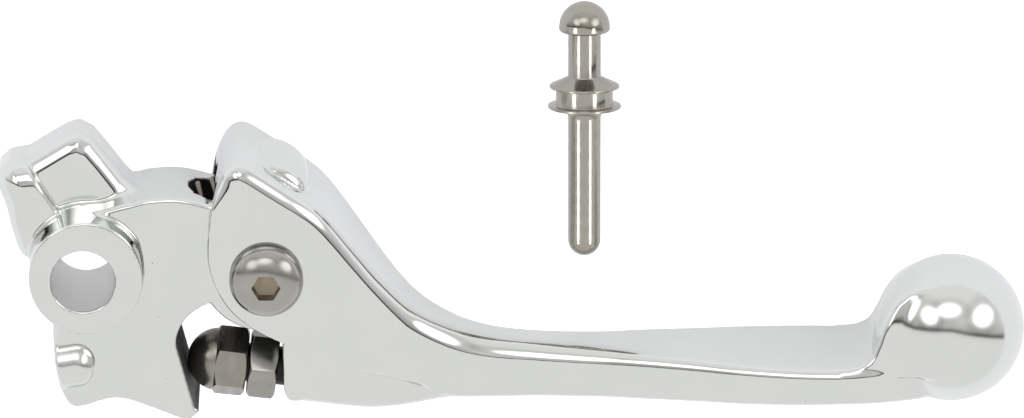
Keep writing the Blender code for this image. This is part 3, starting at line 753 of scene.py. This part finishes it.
def net_over(field, low, step):
    """A quad mesh over the zero surface of a field on a grid: one point for each cell that it crosses."""
    inside = field < 0
    corners = [np.array((i, j, k)) for i in (0, 1) for j in (0, 1) for k in (0, 1)]
    size = np.array(field.shape) - 1
    count = np.zeros(size, np.int8)
    for i, j, k in corners:
        count += inside[i : i + size[0], j : j + size[1], k : k + size[2]]
    crossed = (count > 0) & (count < 8)
    cells = np.argwhere(crossed)
    number = np.full(size, -1)
    number[crossed] = np.arange(len(cells))

    places = np.zeros((len(cells), 3))
    hits = np.zeros(len(cells))
    for axis, unit in enumerate(np.eye(3, dtype=int)):
        for corner in corners:
            if corner[axis]:
                continue
            near = field[tuple((cells + corner).T)]
            far = field[tuple((cells + corner + unit).T)]
            hit = (near < 0) != (far < 0)
            share = np.where(hit, near / np.where(hit, near - far, 1), 0)
            places += hit[:, None] * (corner + share[:, None] * unit)
            hits += hit
    points = low + step * (cells + places / hits[:, None])

    quads = []
    for axis, unit in enumerate(np.eye(3, dtype=int)):
        across, up = np.roll(unit, 1), np.roll(unit, 2)
        near = inside[tuple(slice(0, n - u) for n, u in zip(inside.shape, unit))]
        far = inside[tuple(slice(u, n) for n, u in zip(inside.shape, unit))]
        edges = np.argwhere(near != far)
        loop = [number[tuple((edges - shift).T)] for shift in (0 * unit, across, across + up, up)]
        quad = np.stack(loop, axis=1)
        outward = near[tuple(edges.T)]
        quads.append(np.where(outward[:, None], quad, quad[:, ::-1]))
    return points, np.vstack(quads)


def cast(name, shape, finish, low, high):
    """A casting from its distance field: meshed, drawn onto the true surface, and shaded by its slope."""
    axes = [np.arange(a, b, CASTING_GRID) for a, b in zip(low, high)]
    field = shape(axes[0][:, None, None], axes[1][None, :, None], axes[2][None, None, :])
    points, quads = net_over(field, np.array(low, float), CASTING_GRID)
    for _ in range(NEWTON_STEPS):
        slope = gradient(shape, points, NORMAL_STEP)
        steep = np.maximum((slope**2).sum(axis=1), LEAST_SLOPE)
        move = -shape(*points.T) / steep
        points = points + np.clip(move, -CASTING_GRID, CASTING_GRID)[:, None] * slope
    normals = gradient(shape, points, NORMAL_STEP)
    normals /= np.maximum(np.linalg.norm(normals, axis=1), LEAST_NORMAL)[:, None]

    mesh = bpy.data.meshes.new(name)
    mesh.from_pydata(points * MM, [], quads.tolist())
    mesh.shade_smooth()
    mesh.normals_split_custom_set_from_vertices(normals)
    for kind, values in zip(("machined", "painted_shade"), finish(*points.T)):
        mesh.attributes.new(kind, "FLOAT", "POINT").data.foreach_set("value", values)
    piece = bpy.data.objects.new(name, mesh)
    bpy.context.scene.collection.objects.link(piece)
    return piece


# Turned and milled pieces

MERGE_DISTANCE = 1e-7


def new_piece(name):
    """The object that an operator has just added, under its own name."""
    piece = bpy.context.object
    piece.name = name
    piece.data.name = name
    return piece


def select_only(piece):
    bpy.ops.object.select_all(action="DESELECT")
    piece.select_set(True)
    bpy.context.view_layer.objects.active = piece


def along(origin, direction):
    """Places a piece so that its Z runs along a direction in XY and its Y is the frame's Z."""
    z_axis = Vector((direction[0], direction[1], 0)).normalized()
    y_axis = Vector((0, 0, 1))
    turn = Matrix((y_axis.cross(z_axis), y_axis, z_axis)).transposed().to_4x4()
    return Matrix.Translation((origin[0] * MM, origin[1] * MM, 0)) @ turn


def turned(name, profile, steps=96):
    """A piece turned about Z from (radius, height) points in millimetres."""
    bpy.ops.object.select_all(action="DESELECT")
    bpy.ops.mesh.primitive_plane_add(size=MM)
    piece = new_piece(name)
    bpy.ops.object.mode_set(mode="EDIT")
    bpy.ops.mesh.select_all(action="SELECT")
    bpy.ops.mesh.merge(type="CENTER")
    bpy.ops.transform.translate(value=(profile[0][0] * MM, 0, profile[0][1] * MM))
    for place, following in zip(profile, profile[1:]):
        step = ((following[0] - place[0]) * MM, 0, (following[1] - place[1]) * MM)
        bpy.ops.mesh.extrude_region_move(TRANSFORM_OT_translate={"value": step})
    bpy.ops.mesh.select_all(action="SELECT")
    bpy.ops.mesh.spin(steps=steps, angle=math.tau, center=(0, 0, 0), axis=(0, 0, 1))
    bpy.ops.mesh.select_all(action="SELECT")
    bpy.ops.mesh.remove_doubles(threshold=MERGE_DISTANCE)
    bpy.ops.mesh.normals_make_consistent(inside=False)
    bpy.ops.object.mode_set(mode="OBJECT")
    return piece


def hexagon_bar(name, width, low, high, turn_deg):
    bpy.ops.object.select_all(action="DESELECT")
    bpy.ops.mesh.primitive_cylinder_add(
        vertices=6,
        radius=width / math.sqrt(3) * MM,
        depth=(high - low) * MM,
        location=(0, 0, (low + high) / 2 * MM),
        rotation=(0, 0, math.radians(turn_deg)),
    )
    bpy.ops.object.transform_apply()
    return new_piece(name)


def combine(piece, tool, operation):
    """Joins, cuts or trims a piece by another, which is used up."""
    select_only(piece)
    change = piece.modifiers.new(operation, "BOOLEAN")
    change.operation = operation
    change.solver = "EXACT"
    change.object = tool
    bpy.ops.object.modifier_apply(modifier=change.name)
    bpy.data.objects.remove(tool)


def soften(piece, width, angle_deg=25.0, segments=3):
    select_only(piece)
    change = piece.modifiers.new("softened edges", "BEVEL")
    change.width = width * MM
    change.segments = segments
    change.limit_method = "ANGLE"
    change.angle_limit = math.radians(angle_deg)
    bpy.ops.object.modifier_apply(modifier=change.name)


def put(piece, matrix, smooth_deg=30.0):
    """Moves a finished piece's mesh to its place and shades it."""
    piece.data.transform(matrix)
    select_only(piece)
    bpy.ops.object.shade_smooth_by_angle(angle=math.radians(smooth_deg))
    return piece


def quarter(steps):
    """Angles over a quarter of a circle."""
    return [math.radians(90 * i / steps) for i in range(steps + 1)]


def rod(name, radius, low, high, steps=64):
    return turned(name, ((0, low), (radius, low), (radius, high), (0, high)), steps)


def pivot_frame():
    return Matrix.Translation((PIVOT[0] * MM, PIVOT[1] * MM, 0))


def pivot_bolt():
    """Button-head bolt with a hexagon socket, whose faces get the second material, through both ears."""
    tip = SEAT_GAP - HEAD_HALF
    shoulder = SEAT_GAP - FORK_HALF
    seat = HEAD_HALF + SEAT_GAP
    rim = seat + BOLT_HEAD_RIM
    top = seat + BOLT_HEAD_HEIGHT
    dome = BOLT_HEAD_HEIGHT - BOLT_HEAD_RIM
    crown = [(BOLT_HEAD_RADIUS * math.cos(a), rim + dome * math.sin(a)) for a in quarter(16)[:-1]]
    profile = (
        (0, tip),
        (BOLT_THREAD_RADIUS - BOLT_POINT_CHAMFER, tip),
        (BOLT_THREAD_RADIUS, tip + BOLT_POINT_CHAMFER),
        (BOLT_THREAD_RADIUS, shoulder),
        (BOLT_SHOULDER_RADIUS, shoulder),
        (BOLT_SHOULDER_RADIUS, seat),
        (BOLT_HEAD_RADIUS - BOLT_HEAD_CHAMFER, seat),
        (BOLT_HEAD_RADIUS, seat + BOLT_HEAD_CHAMFER),
        *crown,
        (0, top),
    )
    bolt = turned("pivot_bolt_head", profile)
    floor = top - BOLT_SOCKET_DEPTH
    key = hexagon_bar("bolt_key", BOLT_SOCKET_WIDTH, floor, top + BOLT_KEY_OVERRUN, BOLT_SOCKET_TURN_DEG)
    combine(bolt, key, "DIFFERENCE")
    for face in bolt.data.polygons:
        middle = face.center / MM
        inward = middle.xy.length < BOLT_SOCKET_WIDTH * BROACHED_WIDTHS
        face.material_index = int(inward and seat < middle.z < top - BROACHED_TOP)
    soften(bolt, BOLT_EDGE, angle_deg=40, segments=2)
    return put(bolt, pivot_frame())


def nut_trim(name, low, high):
    """The turned shape that rounds off a nut's corners at both ends."""
    corner = NUT_WIDTH / math.sqrt(3) + NUT_CHAMFER
    flat = NUT_WIDTH / 2 - NUT_CHAMFER / 4
    run = (corner - flat) * math.tan(math.radians(NUT_CHAMFER_DEG))
    lower = ((0, low), (flat, low), (corner, low + run))
    upper = ((corner, high - run), (flat, high), (0, high))
    return turned(name, (*lower, *upper))


def jam_nut():
    nut = hexagon_bar("adjuster_jam_nut_body", NUT_WIDTH, JAM_START, JAM_END, JAM_TURN_DEG)
    combine(nut, nut_trim("jam_trim", JAM_START, JAM_END), "INTERSECT")
    bore = rod("jam_bore", STUD_BORE, JAM_START - CUT_OVERRUN, JAM_END + CUT_OVERRUN)
    combine(nut, bore, "DIFFERENCE")
    soften(nut, NUT_EDGE)
    return put(nut, along(*adjuster_axis()))


def cap_nut():
    nut = hexagon_bar("adjuster_cap_nut_body", NUT_WIDTH, CAP_HEX_START, CAP_END, CAP_TURN_DEG)
    combine(nut, nut_trim("cap_trim", CAP_HEX_START, CAP_END), "INTERSECT")
    soften(nut, NUT_EDGE)
    radius = CAP_DOME_RADIUS
    middle = CAP_TIP + radius
    crown = [(radius * math.sin(a), middle - radius * math.cos(a)) for a in quarter(20)[:-2]]
    inside = CAP_END - NUT_CHAMFER
    dome = turned("cap_dome", (*crown, (NUT_WIDTH / 2 - CAP_DOME_INSET, inside), (0, inside)))
    combine(nut, dome, "UNION")
    bore = rod("cap_bore", STUD_BORE, CAP_END - CAP_BORE_DEPTH, CAP_END + CUT_OVERRUN)
    combine(nut, bore, "DIFFERENCE")
    return put(nut, along(*adjuster_axis()))


def pushrod():
    """The turned pushrod, lying on its head and its upper collar with the tip a little raised."""
    head, rod_radius = PUSHROD_HEAD_RADIUS, PUSHROD_ROD_RADIUS
    crown = [(head * math.sin(a), head - head * math.cos(a)) for a in quarter(20)]
    wide, long = PUSHROD_FILLET_RADIUS, PUSHROD_FILLET_LENGTH
    fillet = [
        (rod_radius + wide * (1 - math.sin(a)), PUSHROD_FLANGE_END + long * (1 - math.cos(a)))
        for a in quarter(8)
    ]
    point = [(rod_radius * math.cos(a), PUSHROD_TIP + rod_radius * (math.sin(a) - 1)) for a in quarter(12)]
    profile = (
        *crown,
        (head, PUSHROD_HEAD_END - PUSHROD_HEAD_CHAMFER),
        (head - PUSHROD_HEAD_CHAMFER, PUSHROD_HEAD_END),
        (rod_radius, PUSHROD_HEAD_END),
        (rod_radius, PUSHROD_NECK_END),
        (PUSHROD_COLLAR_RADIUS, PUSHROD_CONE_END),
        (PUSHROD_COLLAR_RADIUS, PUSHROD_COLLAR_END),
        (PUSHROD_GROOVE_RADIUS, PUSHROD_COLLAR_END),
        (PUSHROD_GROOVE_RADIUS, PUSHROD_GROOVE_END),
        (PUSHROD_FLANGE_RADIUS, PUSHROD_GROOVE_END),
        (PUSHROD_FLANGE_RADIUS, PUSHROD_FLANGE_END),
        *fillet,
        *point,
    )
    piece = turned("pushrod_turned", profile)
    soften(piece, PUSHROD_EDGE, angle_deg=40)
    collar, run = PUSHROD_COLLAR_RADIUS, PUSHROD_COLLAR_END - head
    tilt = math.acos(head / math.hypot(collar, run)) - math.atan2(run, collar)
    height = head - HEAD_HALF - head * math.sin(tilt)
    place = Matrix.Translation((PUSHROD_X * MM, PUSHROD_HEAD_Y * MM, height * MM))
    return put(piece, place @ Matrix.Rotation(math.radians(90) - tilt, 4, "X"))


def spring_line():
    angle = math.radians(SPRING_RISE_DEG)
    return math.cos(angle), math.sin(angle)


def spring_seat():
    return [a + SPRING_START * d for a, d in zip(SPRING_AXIS_POINT, spring_line())]


def return_spring():
    """The coil spring between its seat in the tongue and the pocket in the hood."""
    mean = SPRING_RADIUS - SPRING_WIRE / 2
    coiled = SPRING_LENGTH - SPRING_WIRE
    turns = int(coiled / SPRING_PITCH)
    bpy.ops.object.select_all(action="DESELECT")
    bpy.ops.mesh.primitive_circle_add(
        vertices=SPRING_WIRE_SIDES,
        radius=SPRING_WIRE / 2 * MM,
        location=(mean * MM, 0, SPRING_WIRE / 2 * MM),
        rotation=(math.radians(90), 0, 0),
    )
    bpy.ops.object.transform_apply()
    spring = new_piece("return_spring_coil")
    coil = spring.modifiers.new("coil", "SCREW")
    coil.iterations = turns
    coil.screw_offset = coiled / turns * MM
    coil.steps = SPRING_TURN_STEPS
    coil.render_steps = SPRING_TURN_STEPS
    bpy.ops.object.modifier_apply(modifier=coil.name)
    bpy.ops.object.mode_set(mode="EDIT")
    bpy.ops.mesh.select_all(action="SELECT")
    bpy.ops.mesh.fill_holes(sides=0)
    bpy.ops.mesh.select_all(action="SELECT")
    bpy.ops.mesh.normals_make_consistent(inside=False)
    bpy.ops.object.mode_set(mode="OBJECT")
    return put(spring, along(spring_seat(), spring_line()), smooth_deg=50)


# Materials

# Rings that a lathe leaves are finer than this: they are drawn so coarse that they show
TURNING_RING = 0.3
# The wave texture counts its coordinates this many times over
WAVE_FACTOR = 20
# Handling marks on the aluminium: their centre, how far they reach and fade out, and the roughness they add
HANDLING_MARKS = (
    ((*BALL_CENTRE, 0), (9.3, 11), 0.09),
    ((*SOCKET_MOUTH, PLATE_HALF + 1), (4, 7), 0.14),
)


def linear(hex_colour):
    """An sRGB hex colour as the linear colour that a shader takes."""
    values = [int(hex_colour[i : i + 2], 16) / 255 for i in (1, 3, 5)]
    return (*(v / 12.92 if v <= 0.04045 else ((v + 0.055) / 1.055) ** 2.4 for v in values), 1.0)


def node(tree, kind, inputs=None, **settings):
    """Adds a node with its settings. An input is a constant, or another node's output to link."""
    added = tree.nodes.new(kind)
    for name, value in settings.items():
        setattr(added, name, value)
    for name, value in (inputs or {}).items():
        if isinstance(value, bpy.types.NodeSocket):
            tree.links.new(value, added.inputs[name])
        else:
            added.inputs[name].default_value = value
    return added


def new_material(name):
    material = bpy.data.materials.new(name)
    material.use_nodes = True
    shader = material.node_tree.nodes["Principled BSDF"]
    shader.inputs["Metallic"].default_value = 1.0
    place = node(material.node_tree, "ShaderNodeTexCoord").outputs["Object"]
    return material, material.node_tree, shader, place


def per_mm(size):
    """A texture scale for a feature of this size in millimetres, on coordinates in metres."""
    return 1 / (size * MM)


def polished_aluminium():
    """Cast aluminium, buffed to a mirror: a bright neutral metal whose flats are faintly wavy, with a few
    pinholes. Bores and slots are left as machined, greyer and matt. Painted shade makes the slots, the space
    between the ears and the hook's face beside the cap nut a dark, rough non-metal."""
    material, tree, shader, place = new_material("polished_cast_aluminium")
    tone = node(tree, "ShaderNodeTexNoise", {"Vector": place, "Scale": per_mm(7.0), "Detail": 3.0})
    shade = node(
        tree,
        "ShaderNodeMix",
        {"Factor": tone.outputs["Fac"], "A": linear("#D7D8D6"), "B": linear("#D1D3CF")},
        data_type="RGBA",
    )
    spots = node(tree, "ShaderNodeTexVoronoi", {"Vector": place, "Scale": per_mm(3.0)})
    pits = node(
        tree,
        "ShaderNodeMapRange",
        {
            "Value": spots.outputs["Distance"],
            "From Min": 0.02,
            "From Max": 0.035,
            "To Min": 1.0,
            "To Max": 0.0,
        },
    )
    pitted = node(
        tree,
        "ShaderNodeMix",
        {"Factor": pits.outputs["Result"], "A": shade.outputs["Result"], "B": linear("#7C7C78")},
        data_type="RGBA",
    )
    machined = node(tree, "ShaderNodeAttribute", attribute_name="machined").outputs["Fac"]
    colour = node(
        tree,
        "ShaderNodeMix",
        {"Factor": machined, "A": pitted.outputs["Result"], "B": linear("#F0F0EE")},
        data_type="RGBA",
    )
    # Painted shade: where this is 1, the aluminium becomes a dark, rough non-metal
    painted_shade = node(tree, "ShaderNodeAttribute", attribute_name="painted_shade").outputs["Fac"]
    darkened = node(
        tree,
        "ShaderNodeMix",
        {"Factor": painted_shade, "A": colour.outputs["Result"], "B": linear("#1C1B1A")},
        data_type="RGBA",
    )
    buffing = node(tree, "ShaderNodeTexNoise", {"Vector": place, "Scale": per_mm(0.5), "Detail": 4.0})
    buffed = node(
        tree,
        "ShaderNodeMapRange",
        {"Value": buffing.outputs["Fac"], "To Min": 0.04, "To Max": 0.1},
    )
    polish = buffed.outputs["Result"]
    for centre, (near, far), haze in HANDLING_MARKS:
        middle = [c * MM for c in centre]
        away = node(tree, "ShaderNodeVectorMath", {0: place, 1: middle}, operation="DISTANCE")
        hazy = node(
            tree,
            "ShaderNodeMapRange",
            {
                "Value": away.outputs["Value"],
                "From Min": near * MM,
                "From Max": far * MM,
                "To Min": haze,
                "To Max": 0.0,
            },
        )
        worn = node(tree, "ShaderNodeMath", {0: polish, 1: hazy.outputs["Result"]}, operation="ADD")
        polish = worn.outputs[0]
    rough = node(tree, "ShaderNodeMix", {"Factor": machined, "A": polish, "B": 0.42}, data_type="FLOAT")
    dulled = node(
        tree,
        "ShaderNodeMix",
        {"Factor": painted_shade, "A": rough.outputs["Result"], "B": 0.85},
        data_type="FLOAT",
    )
    bare = node(tree, "ShaderNodeMath", {0: 1.0, 1: painted_shade}, operation="SUBTRACT")
    wave = node(tree, "ShaderNodeTexNoise", {"Vector": place, "Scale": per_mm(4.0), "Detail": 1.0})
    relief = node(
        tree,
        "ShaderNodeBump",
        {"Height": wave.outputs["Fac"], "Strength": 1.0, "Distance": 0.02 * MM},
    )
    tree.links.new(darkened.outputs["Result"], shader.inputs["Base Color"])
    tree.links.new(dulled.outputs["Result"], shader.inputs["Roughness"])
    tree.links.new(bare.outputs[0], shader.inputs["Metallic"])
    tree.links.new(relief.outputs["Normal"], shader.inputs["Normal"])
    return material


def turned_metal(name, light, dark, roughness, axis_frame):
    """Metal turned on a lathe: fine rings round the axis, which draw highlights out along it."""
    material, tree, shader, place = new_material(name)
    move = axis_frame.inverted()
    local = node(
        tree,
        "ShaderNodeMapping",
        {"Vector": place, "Location": move.to_translation(), "Rotation": move.to_euler()},
    )
    rings = node(
        tree,
        "ShaderNodeTexWave",
        {
            "Vector": local.outputs["Vector"],
            "Scale": per_mm(TURNING_RING) / WAVE_FACTOR,
            "Distortion": 1.5,
            "Detail": 2.0,
        },
        wave_type="BANDS",
        bands_direction="Z",
    )
    stain = node(tree, "ShaderNodeTexNoise", {"Vector": place, "Scale": per_mm(2.0), "Detail": 4.0})
    shade = node(
        tree,
        "ShaderNodeMix",
        {"Factor": stain.outputs["Fac"], "A": linear(light), "B": linear(dark)},
        data_type="RGBA",
    )
    rough = node(
        tree,
        "ShaderNodeMapRange",
        {"Value": rings.outputs["Fac"], "To Min": roughness - 0.05, "To Max": roughness + 0.07},
    )
    relief = node(
        tree,
        "ShaderNodeBump",
        {"Height": rings.outputs["Fac"], "Strength": 0.25, "Distance": 0.01 * MM},
    )
    tree.links.new(shade.outputs["Result"], shader.inputs["Base Color"])
    tree.links.new(rough.outputs["Result"], shader.inputs["Roughness"])
    tree.links.new(relief.outputs["Normal"], shader.inputs["Normal"])
    return material


def zinc_plate():
    """Steel plated with bright zinc: a cool grey with a soft, cloudy gloss."""
    material, tree, shader, place = new_material("zinc_plated_steel_bright")
    cloud = node(tree, "ShaderNodeTexNoise", {"Vector": place, "Scale": per_mm(1.2), "Detail": 5.0})
    shade = node(
        tree,
        "ShaderNodeMix",
        {"Factor": cloud.outputs["Fac"], "A": linear("#A5A39E"), "B": linear("#8F8D88")},
        data_type="RGBA",
    )
    rough = node(
        tree,
        "ShaderNodeMapRange",
        {"Value": cloud.outputs["Fac"], "To Min": 0.14, "To Max": 0.24},
    )
    relief = node(
        tree,
        "ShaderNodeBump",
        {"Height": cloud.outputs["Fac"], "Strength": 0.2, "Distance": 0.02 * MM},
    )
    tree.links.new(shade.outputs["Result"], shader.inputs["Base Color"])
    tree.links.new(rough.outputs["Result"], shader.inputs["Roughness"])
    tree.links.new(relief.outputs["Normal"], shader.inputs["Normal"])
    return material


def wear(piece, material):
    """Gives a piece its first material."""
    if piece.data.materials:
        piece.data.materials[0] = material
    else:
        piece.data.materials.append(material)


# Stage

CLIP_END = 10.0


def set_camera():
    tilt = math.radians(VIEW_TILT_DEG)
    back = Vector((0, math.sin(tilt), math.cos(tilt)))
    up = Vector((0, math.cos(tilt), -math.sin(tilt)))
    right = Vector((1, 0, 0))
    data = bpy.data.cameras.new("camera")
    data.lens = LENS
    data.sensor_width = SENSOR
    data.clip_end = CLIP_END
    camera = bpy.data.objects.new("camera", data)
    centre = right * VIEW_CENTRE_X + up * VIEW_CENTRE_UP
    distance = VIEW_WIDTH * LENS / SENSOR
    turn = Matrix((right, up, back)).transposed().to_4x4()
    camera.matrix_world = Matrix.Translation((centre + back * distance) * MM) @ turn
    bpy.context.scene.collection.objects.link(camera)
    bpy.context.scene.camera = camera


TABLE_RADIUS = 7.0
# Millimetres under the object
TABLE_GAP = 0.02
# Glow of the table where the camera sees it, and where polished metal mirrors it
TABLE_SEEN = 0.86
TABLE_MIRRORED = 0.32


def set_floor():
    """A large white table under the object. Its glow makes it white, and it keeps a soft shadow."""
    bpy.ops.object.select_all(action="DESELECT")
    bpy.ops.mesh.primitive_circle_add(
        vertices=96,
        radius=TABLE_RADIUS,
        fill_type="NGON",
        location=(VIEW_CENTRE_X * MM, 0, CAD_BOX[0][2] - TABLE_GAP * MM),
    )
    floor = bpy.context.object
    floor.name = "table"
    material = bpy.data.materials.new("white_table_sheet")
    material.use_nodes = True
    tree = material.node_tree
    tree.nodes.remove(tree.nodes["Principled BSDF"])
    path = node(tree, "ShaderNodeLightPath")
    shiny = node(
        tree,
        "ShaderNodeMath",
        {0: path.outputs["Is Glossy Ray"], 1: path.outputs["Is Transmission Ray"]},
        operation="MAXIMUM",
    )
    mirrored = node(tree, "ShaderNodeMath", {0: shiny.outputs[0], 1: TABLE_MIRRORED}, operation="MULTIPLY")
    glow = node(
        tree,
        "ShaderNodeMath",
        {0: path.outputs["Is Camera Ray"], 1: TABLE_SEEN, 2: mirrored.outputs[0]},
        operation="MULTIPLY_ADD",
    )
    light = node(tree, "ShaderNodeEmission", {"Color": linear("#FBFBFE"), "Strength": glow.outputs[0]})
    paper = node(tree, "ShaderNodeBsdfDiffuse", {"Color": linear("#E2E2E6")})
    both = node(tree, "ShaderNodeAddShader", {0: light.outputs[0], 1: paper.outputs[0]})
    tree.links.new(both.outputs[0], tree.nodes["Material Output"].inputs["Surface"])
    wear(floor, material)


TENT = 1.0
GAP = 0.06
# How far the gap leans with height, and to the right
GAP_LIFT = -0.233
GAP_LEAN = 0.24
# The tent's brightness from its near half, across the gap and up its far half
TENT_LEVELS = ((0.0, TENT), (0.012, GAP), (0.075, GAP), (0.11, 0.6), (0.22, 0.74), (0.4, TENT))
# Each softbox: its direction, its half width as seen from the lever, and how much X, Y and Z count in that
SOFTBOXES = (
    ((-0.556, 0.546, 0.627), 0.25, (1.0, 1.0, 0.7)),
    ((-0.08, 0.735, 0.673), 0.22, (0.58, 1.0, 1.0)),
    ((0.76, 0.45, 0.465), 0.28, (0.9, 1.0, 0.7)),
)
# Light that a softbox's dark housing and its bright front add, from and to these shares of its half width
SOFTBOX_RINGS = ((1.9, 1.3, -0.2), (1.05, 0.6, 1.7))
SOFTBOX_DISTANCE = 0.9
LAMP_RADIANCE = 1.5
STRIP_DIRECTIONS = ((-0.664, -0.106, 0.741), (0.664, -0.106, 0.741))
STRIP_DISTANCE = 0.5
STRIP_SIZE = (0.1, 0.25)
STRIP_RADIANCE = 5.0


def area_lamp(name, shape, size, radiance, aim, centre, distance):
    """A lamp that faces a place from a direction, with its height along Y."""
    data = bpy.data.lights.new(name, "AREA")
    data.shape = shape
    data.size, data.size_y = size
    area = size[0] * size[1] * (math.pi / 4 if shape == "ELLIPSE" else 1)
    data.energy = radiance * math.pi * area
    lamp = bpy.data.objects.new(name, data)
    z_axis = Vector(aim).normalized()
    x_axis = Vector((0, 1, 0)).cross(z_axis).normalized()
    turn = Matrix((x_axis, z_axis.cross(x_axis), z_axis)).transposed().to_4x4()
    lamp.matrix_world = Matrix.Translation(Vector(centre) + z_axis * distance) @ turn
    bpy.context.scene.collection.objects.link(lamp)
    return lamp


def set_light():
    """A light tent all round, with a dark gap between its two halves and three softboxes in the far one.
    Polished flats show the near half. Rounded edges show the gap as a thin line, and then the softboxes."""
    world = bpy.data.worlds.new("studio")
    bpy.context.scene.world = world
    world.use_nodes = True
    tree = world.node_tree
    way = node(tree, "ShaderNodeTexCoord").outputs["Generated"]
    parts = node(tree, "ShaderNodeSeparateXYZ", {"Vector": way})
    x, y, z = (parts.outputs[i] for i in range(3))
    right = node(tree, "ShaderNodeMath", {0: x, 1: 0.0}, operation="MAXIMUM")
    lifted = node(tree, "ShaderNodeMath", {0: z, 1: GAP_LIFT, 2: y}, operation="MULTIPLY_ADD")
    past = node(
        tree,
        "ShaderNodeMath",
        {0: right.outputs[0], 1: GAP_LEAN, 2: lifted.outputs[0]},
        operation="MULTIPLY_ADD",
    )
    edge = node(tree, "ShaderNodeValToRGB", {"Fac": past.outputs[0]})
    stops = edge.color_ramp.elements
    for number, (position, level) in enumerate(TENT_LEVELS):
        stop = stops[number] if number < 2 else stops.new(position)
        stop.position = position
        stop.color = (level, level, level, 1)
    sky = edge.outputs["Color"]
    for direction, size, squeeze in SOFTBOXES:
        offset = node(tree, "ShaderNodeVectorMath", {0: way, 1: direction}, operation="SUBTRACT")
        scaled = node(
            tree,
            "ShaderNodeVectorMath",
            {0: offset.outputs[0], 1: squeeze},
            operation="MULTIPLY",
        )
        far = node(tree, "ShaderNodeVectorMath", {0: scaled.outputs[0]}, operation="LENGTH")
        for outer, inner, light in SOFTBOX_RINGS:
            ring = node(
                tree,
                "ShaderNodeMapRange",
                {
                    "Value": far.outputs["Value"],
                    "From Min": outer * size,
                    "From Max": inner * size,
                    "To Max": light,
                },
                interpolation_type="SMOOTHSTEP",
            )
            added = node(tree, "ShaderNodeMath", {0: sky, 1: ring.outputs["Result"]}, operation="ADD")
            sky = added.outputs[0]
    path = node(tree, "ShaderNodeLightPath")
    level = node(tree, "ShaderNodeMath", {0: sky, 1: path.outputs["Is Camera Ray"]}, operation="MAXIMUM")
    background = tree.nodes["Background"]
    background.inputs["Color"].default_value = (1, 1, 1, 1)
    tree.links.new(level.outputs[0], background.inputs["Strength"])

    centre = (VIEW_CENTRE_X * MM, 0, 0)
    for number, (direction, size, _) in enumerate(SOFTBOXES):
        width = size * SOFTBOX_DISTANCE
        name, round_size = f"softbox_{number}", (width, width)
        lamp = area_lamp(name, "ELLIPSE", round_size, LAMP_RADIANCE, direction, centre, SOFTBOX_DISTANCE)
        lamp.visible_glossy = False


def light_pushrod(piece):
    """Two strip lights that shine on the loose pushrod only, and draw long streaks along it."""
    lit = bpy.data.collections.new("lit_by_strips")
    lit.objects.link(piece)
    centre = (PUSHROD_X * MM, (PUSHROD_HEAD_Y - PUSHROD_TIP / 2) * MM, 0)
    for number, direction in enumerate(STRIP_DIRECTIONS):
        name = f"strip_{number}"
        lamp = area_lamp(name, "RECTANGLE", STRIP_SIZE, STRIP_RADIANCE, direction, centre, STRIP_DISTANCE)
        lamp.light_linking.receiver_collection = lit


def main():
    scene = bpy.context.scene
    scene.view_settings.view_transform = "Standard"
    set_camera()
    set_floor()
    set_light()

    screw_frame = along(*adjuster_axis())
    bolt_frame = pivot_frame()
    rod_frame = Matrix.Rotation(math.radians(90), 4, "X")
    aluminium = polished_aluminium()
    bolt_steel = turned_metal("stainless_steel_satin_turned", "#ABA8A3", "#9C9994", 0.18, bolt_frame)
    broached = turned_metal("stainless_steel_broached", "#A89D8A", "#7F7565", 0.35, bolt_frame)
    dark_steel = turned_metal("stainless_steel_dark_turned", "#A09B93", "#87827A", 0.3, screw_frame)
    rod_steel = turned_metal("stainless_steel_turned", "#AAA69E", "#98938B", 0.18, rod_frame)
    coil_steel = turned_metal("spring_steel_drawn", "#8A8074", "#6C6459", 0.3, Matrix())
    bronze = turned_metal("bearing_bronze_machined", "#B58B52", "#96713F", 0.35, bolt_frame)
    # The stud's thread: its own oiled tone, painted darker still as the shade in the gaps between the nuts
    # and the blade
    thread_steel = turned_metal("stainless_steel_thread_oiled_with_painted_shade", "#3A3836", "#2A2826", 0.4, screw_frame)
    zinc = zinc_plate()

    bolt = pivot_bolt()
    jam = jam_nut()
    cap = cap_nut()
    loose_rod = pushrod()
    spring = return_spring()
    knuckle = cast("knuckle_casting", *knuckle_shape(), *KNUCKLE_SPACE)
    blade = cast("blade_casting", *blade_shape(), *BLADE_SPACE)

    pieces = (
        (bolt, bolt_steel, "blade", "pivot_bolt", "stainless_steel"),
        (jam, zinc, "blade", "adjuster_jam_nut", "zinc_plated_steel"),
        (cap, dark_steel, "adjuster_cap_nut", "adjuster_cap_nut", "dark_stainless_steel"),
        (loose_rod, rod_steel, "pushrod", "pushrod", "stainless_steel"),
        (spring, coil_steel, "knuckle", "return_spring", "spring_steel"),
        (knuckle, aluminium, "knuckle", "knuckle", "polished_aluminium"),
        (blade, aluminium, "blade", "blade", "polished_aluminium"),
    )
    light_pushrod(loose_rod)
    for piece, material, body, replaced, slot in pieces:
        wear(piece, material)
        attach(piece, body)
        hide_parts(replaced)
    bolt.data.materials.append(broached)
    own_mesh(spring)
    solids = (
        ("pivot_bush", bronze),
        ("thrust_washer_front", bronze),
        ("thrust_washer_back", bronze),
        ("adjuster_stud", thread_steel),
    )
    for name, material in solids:
        wear(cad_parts[name], material)


main()
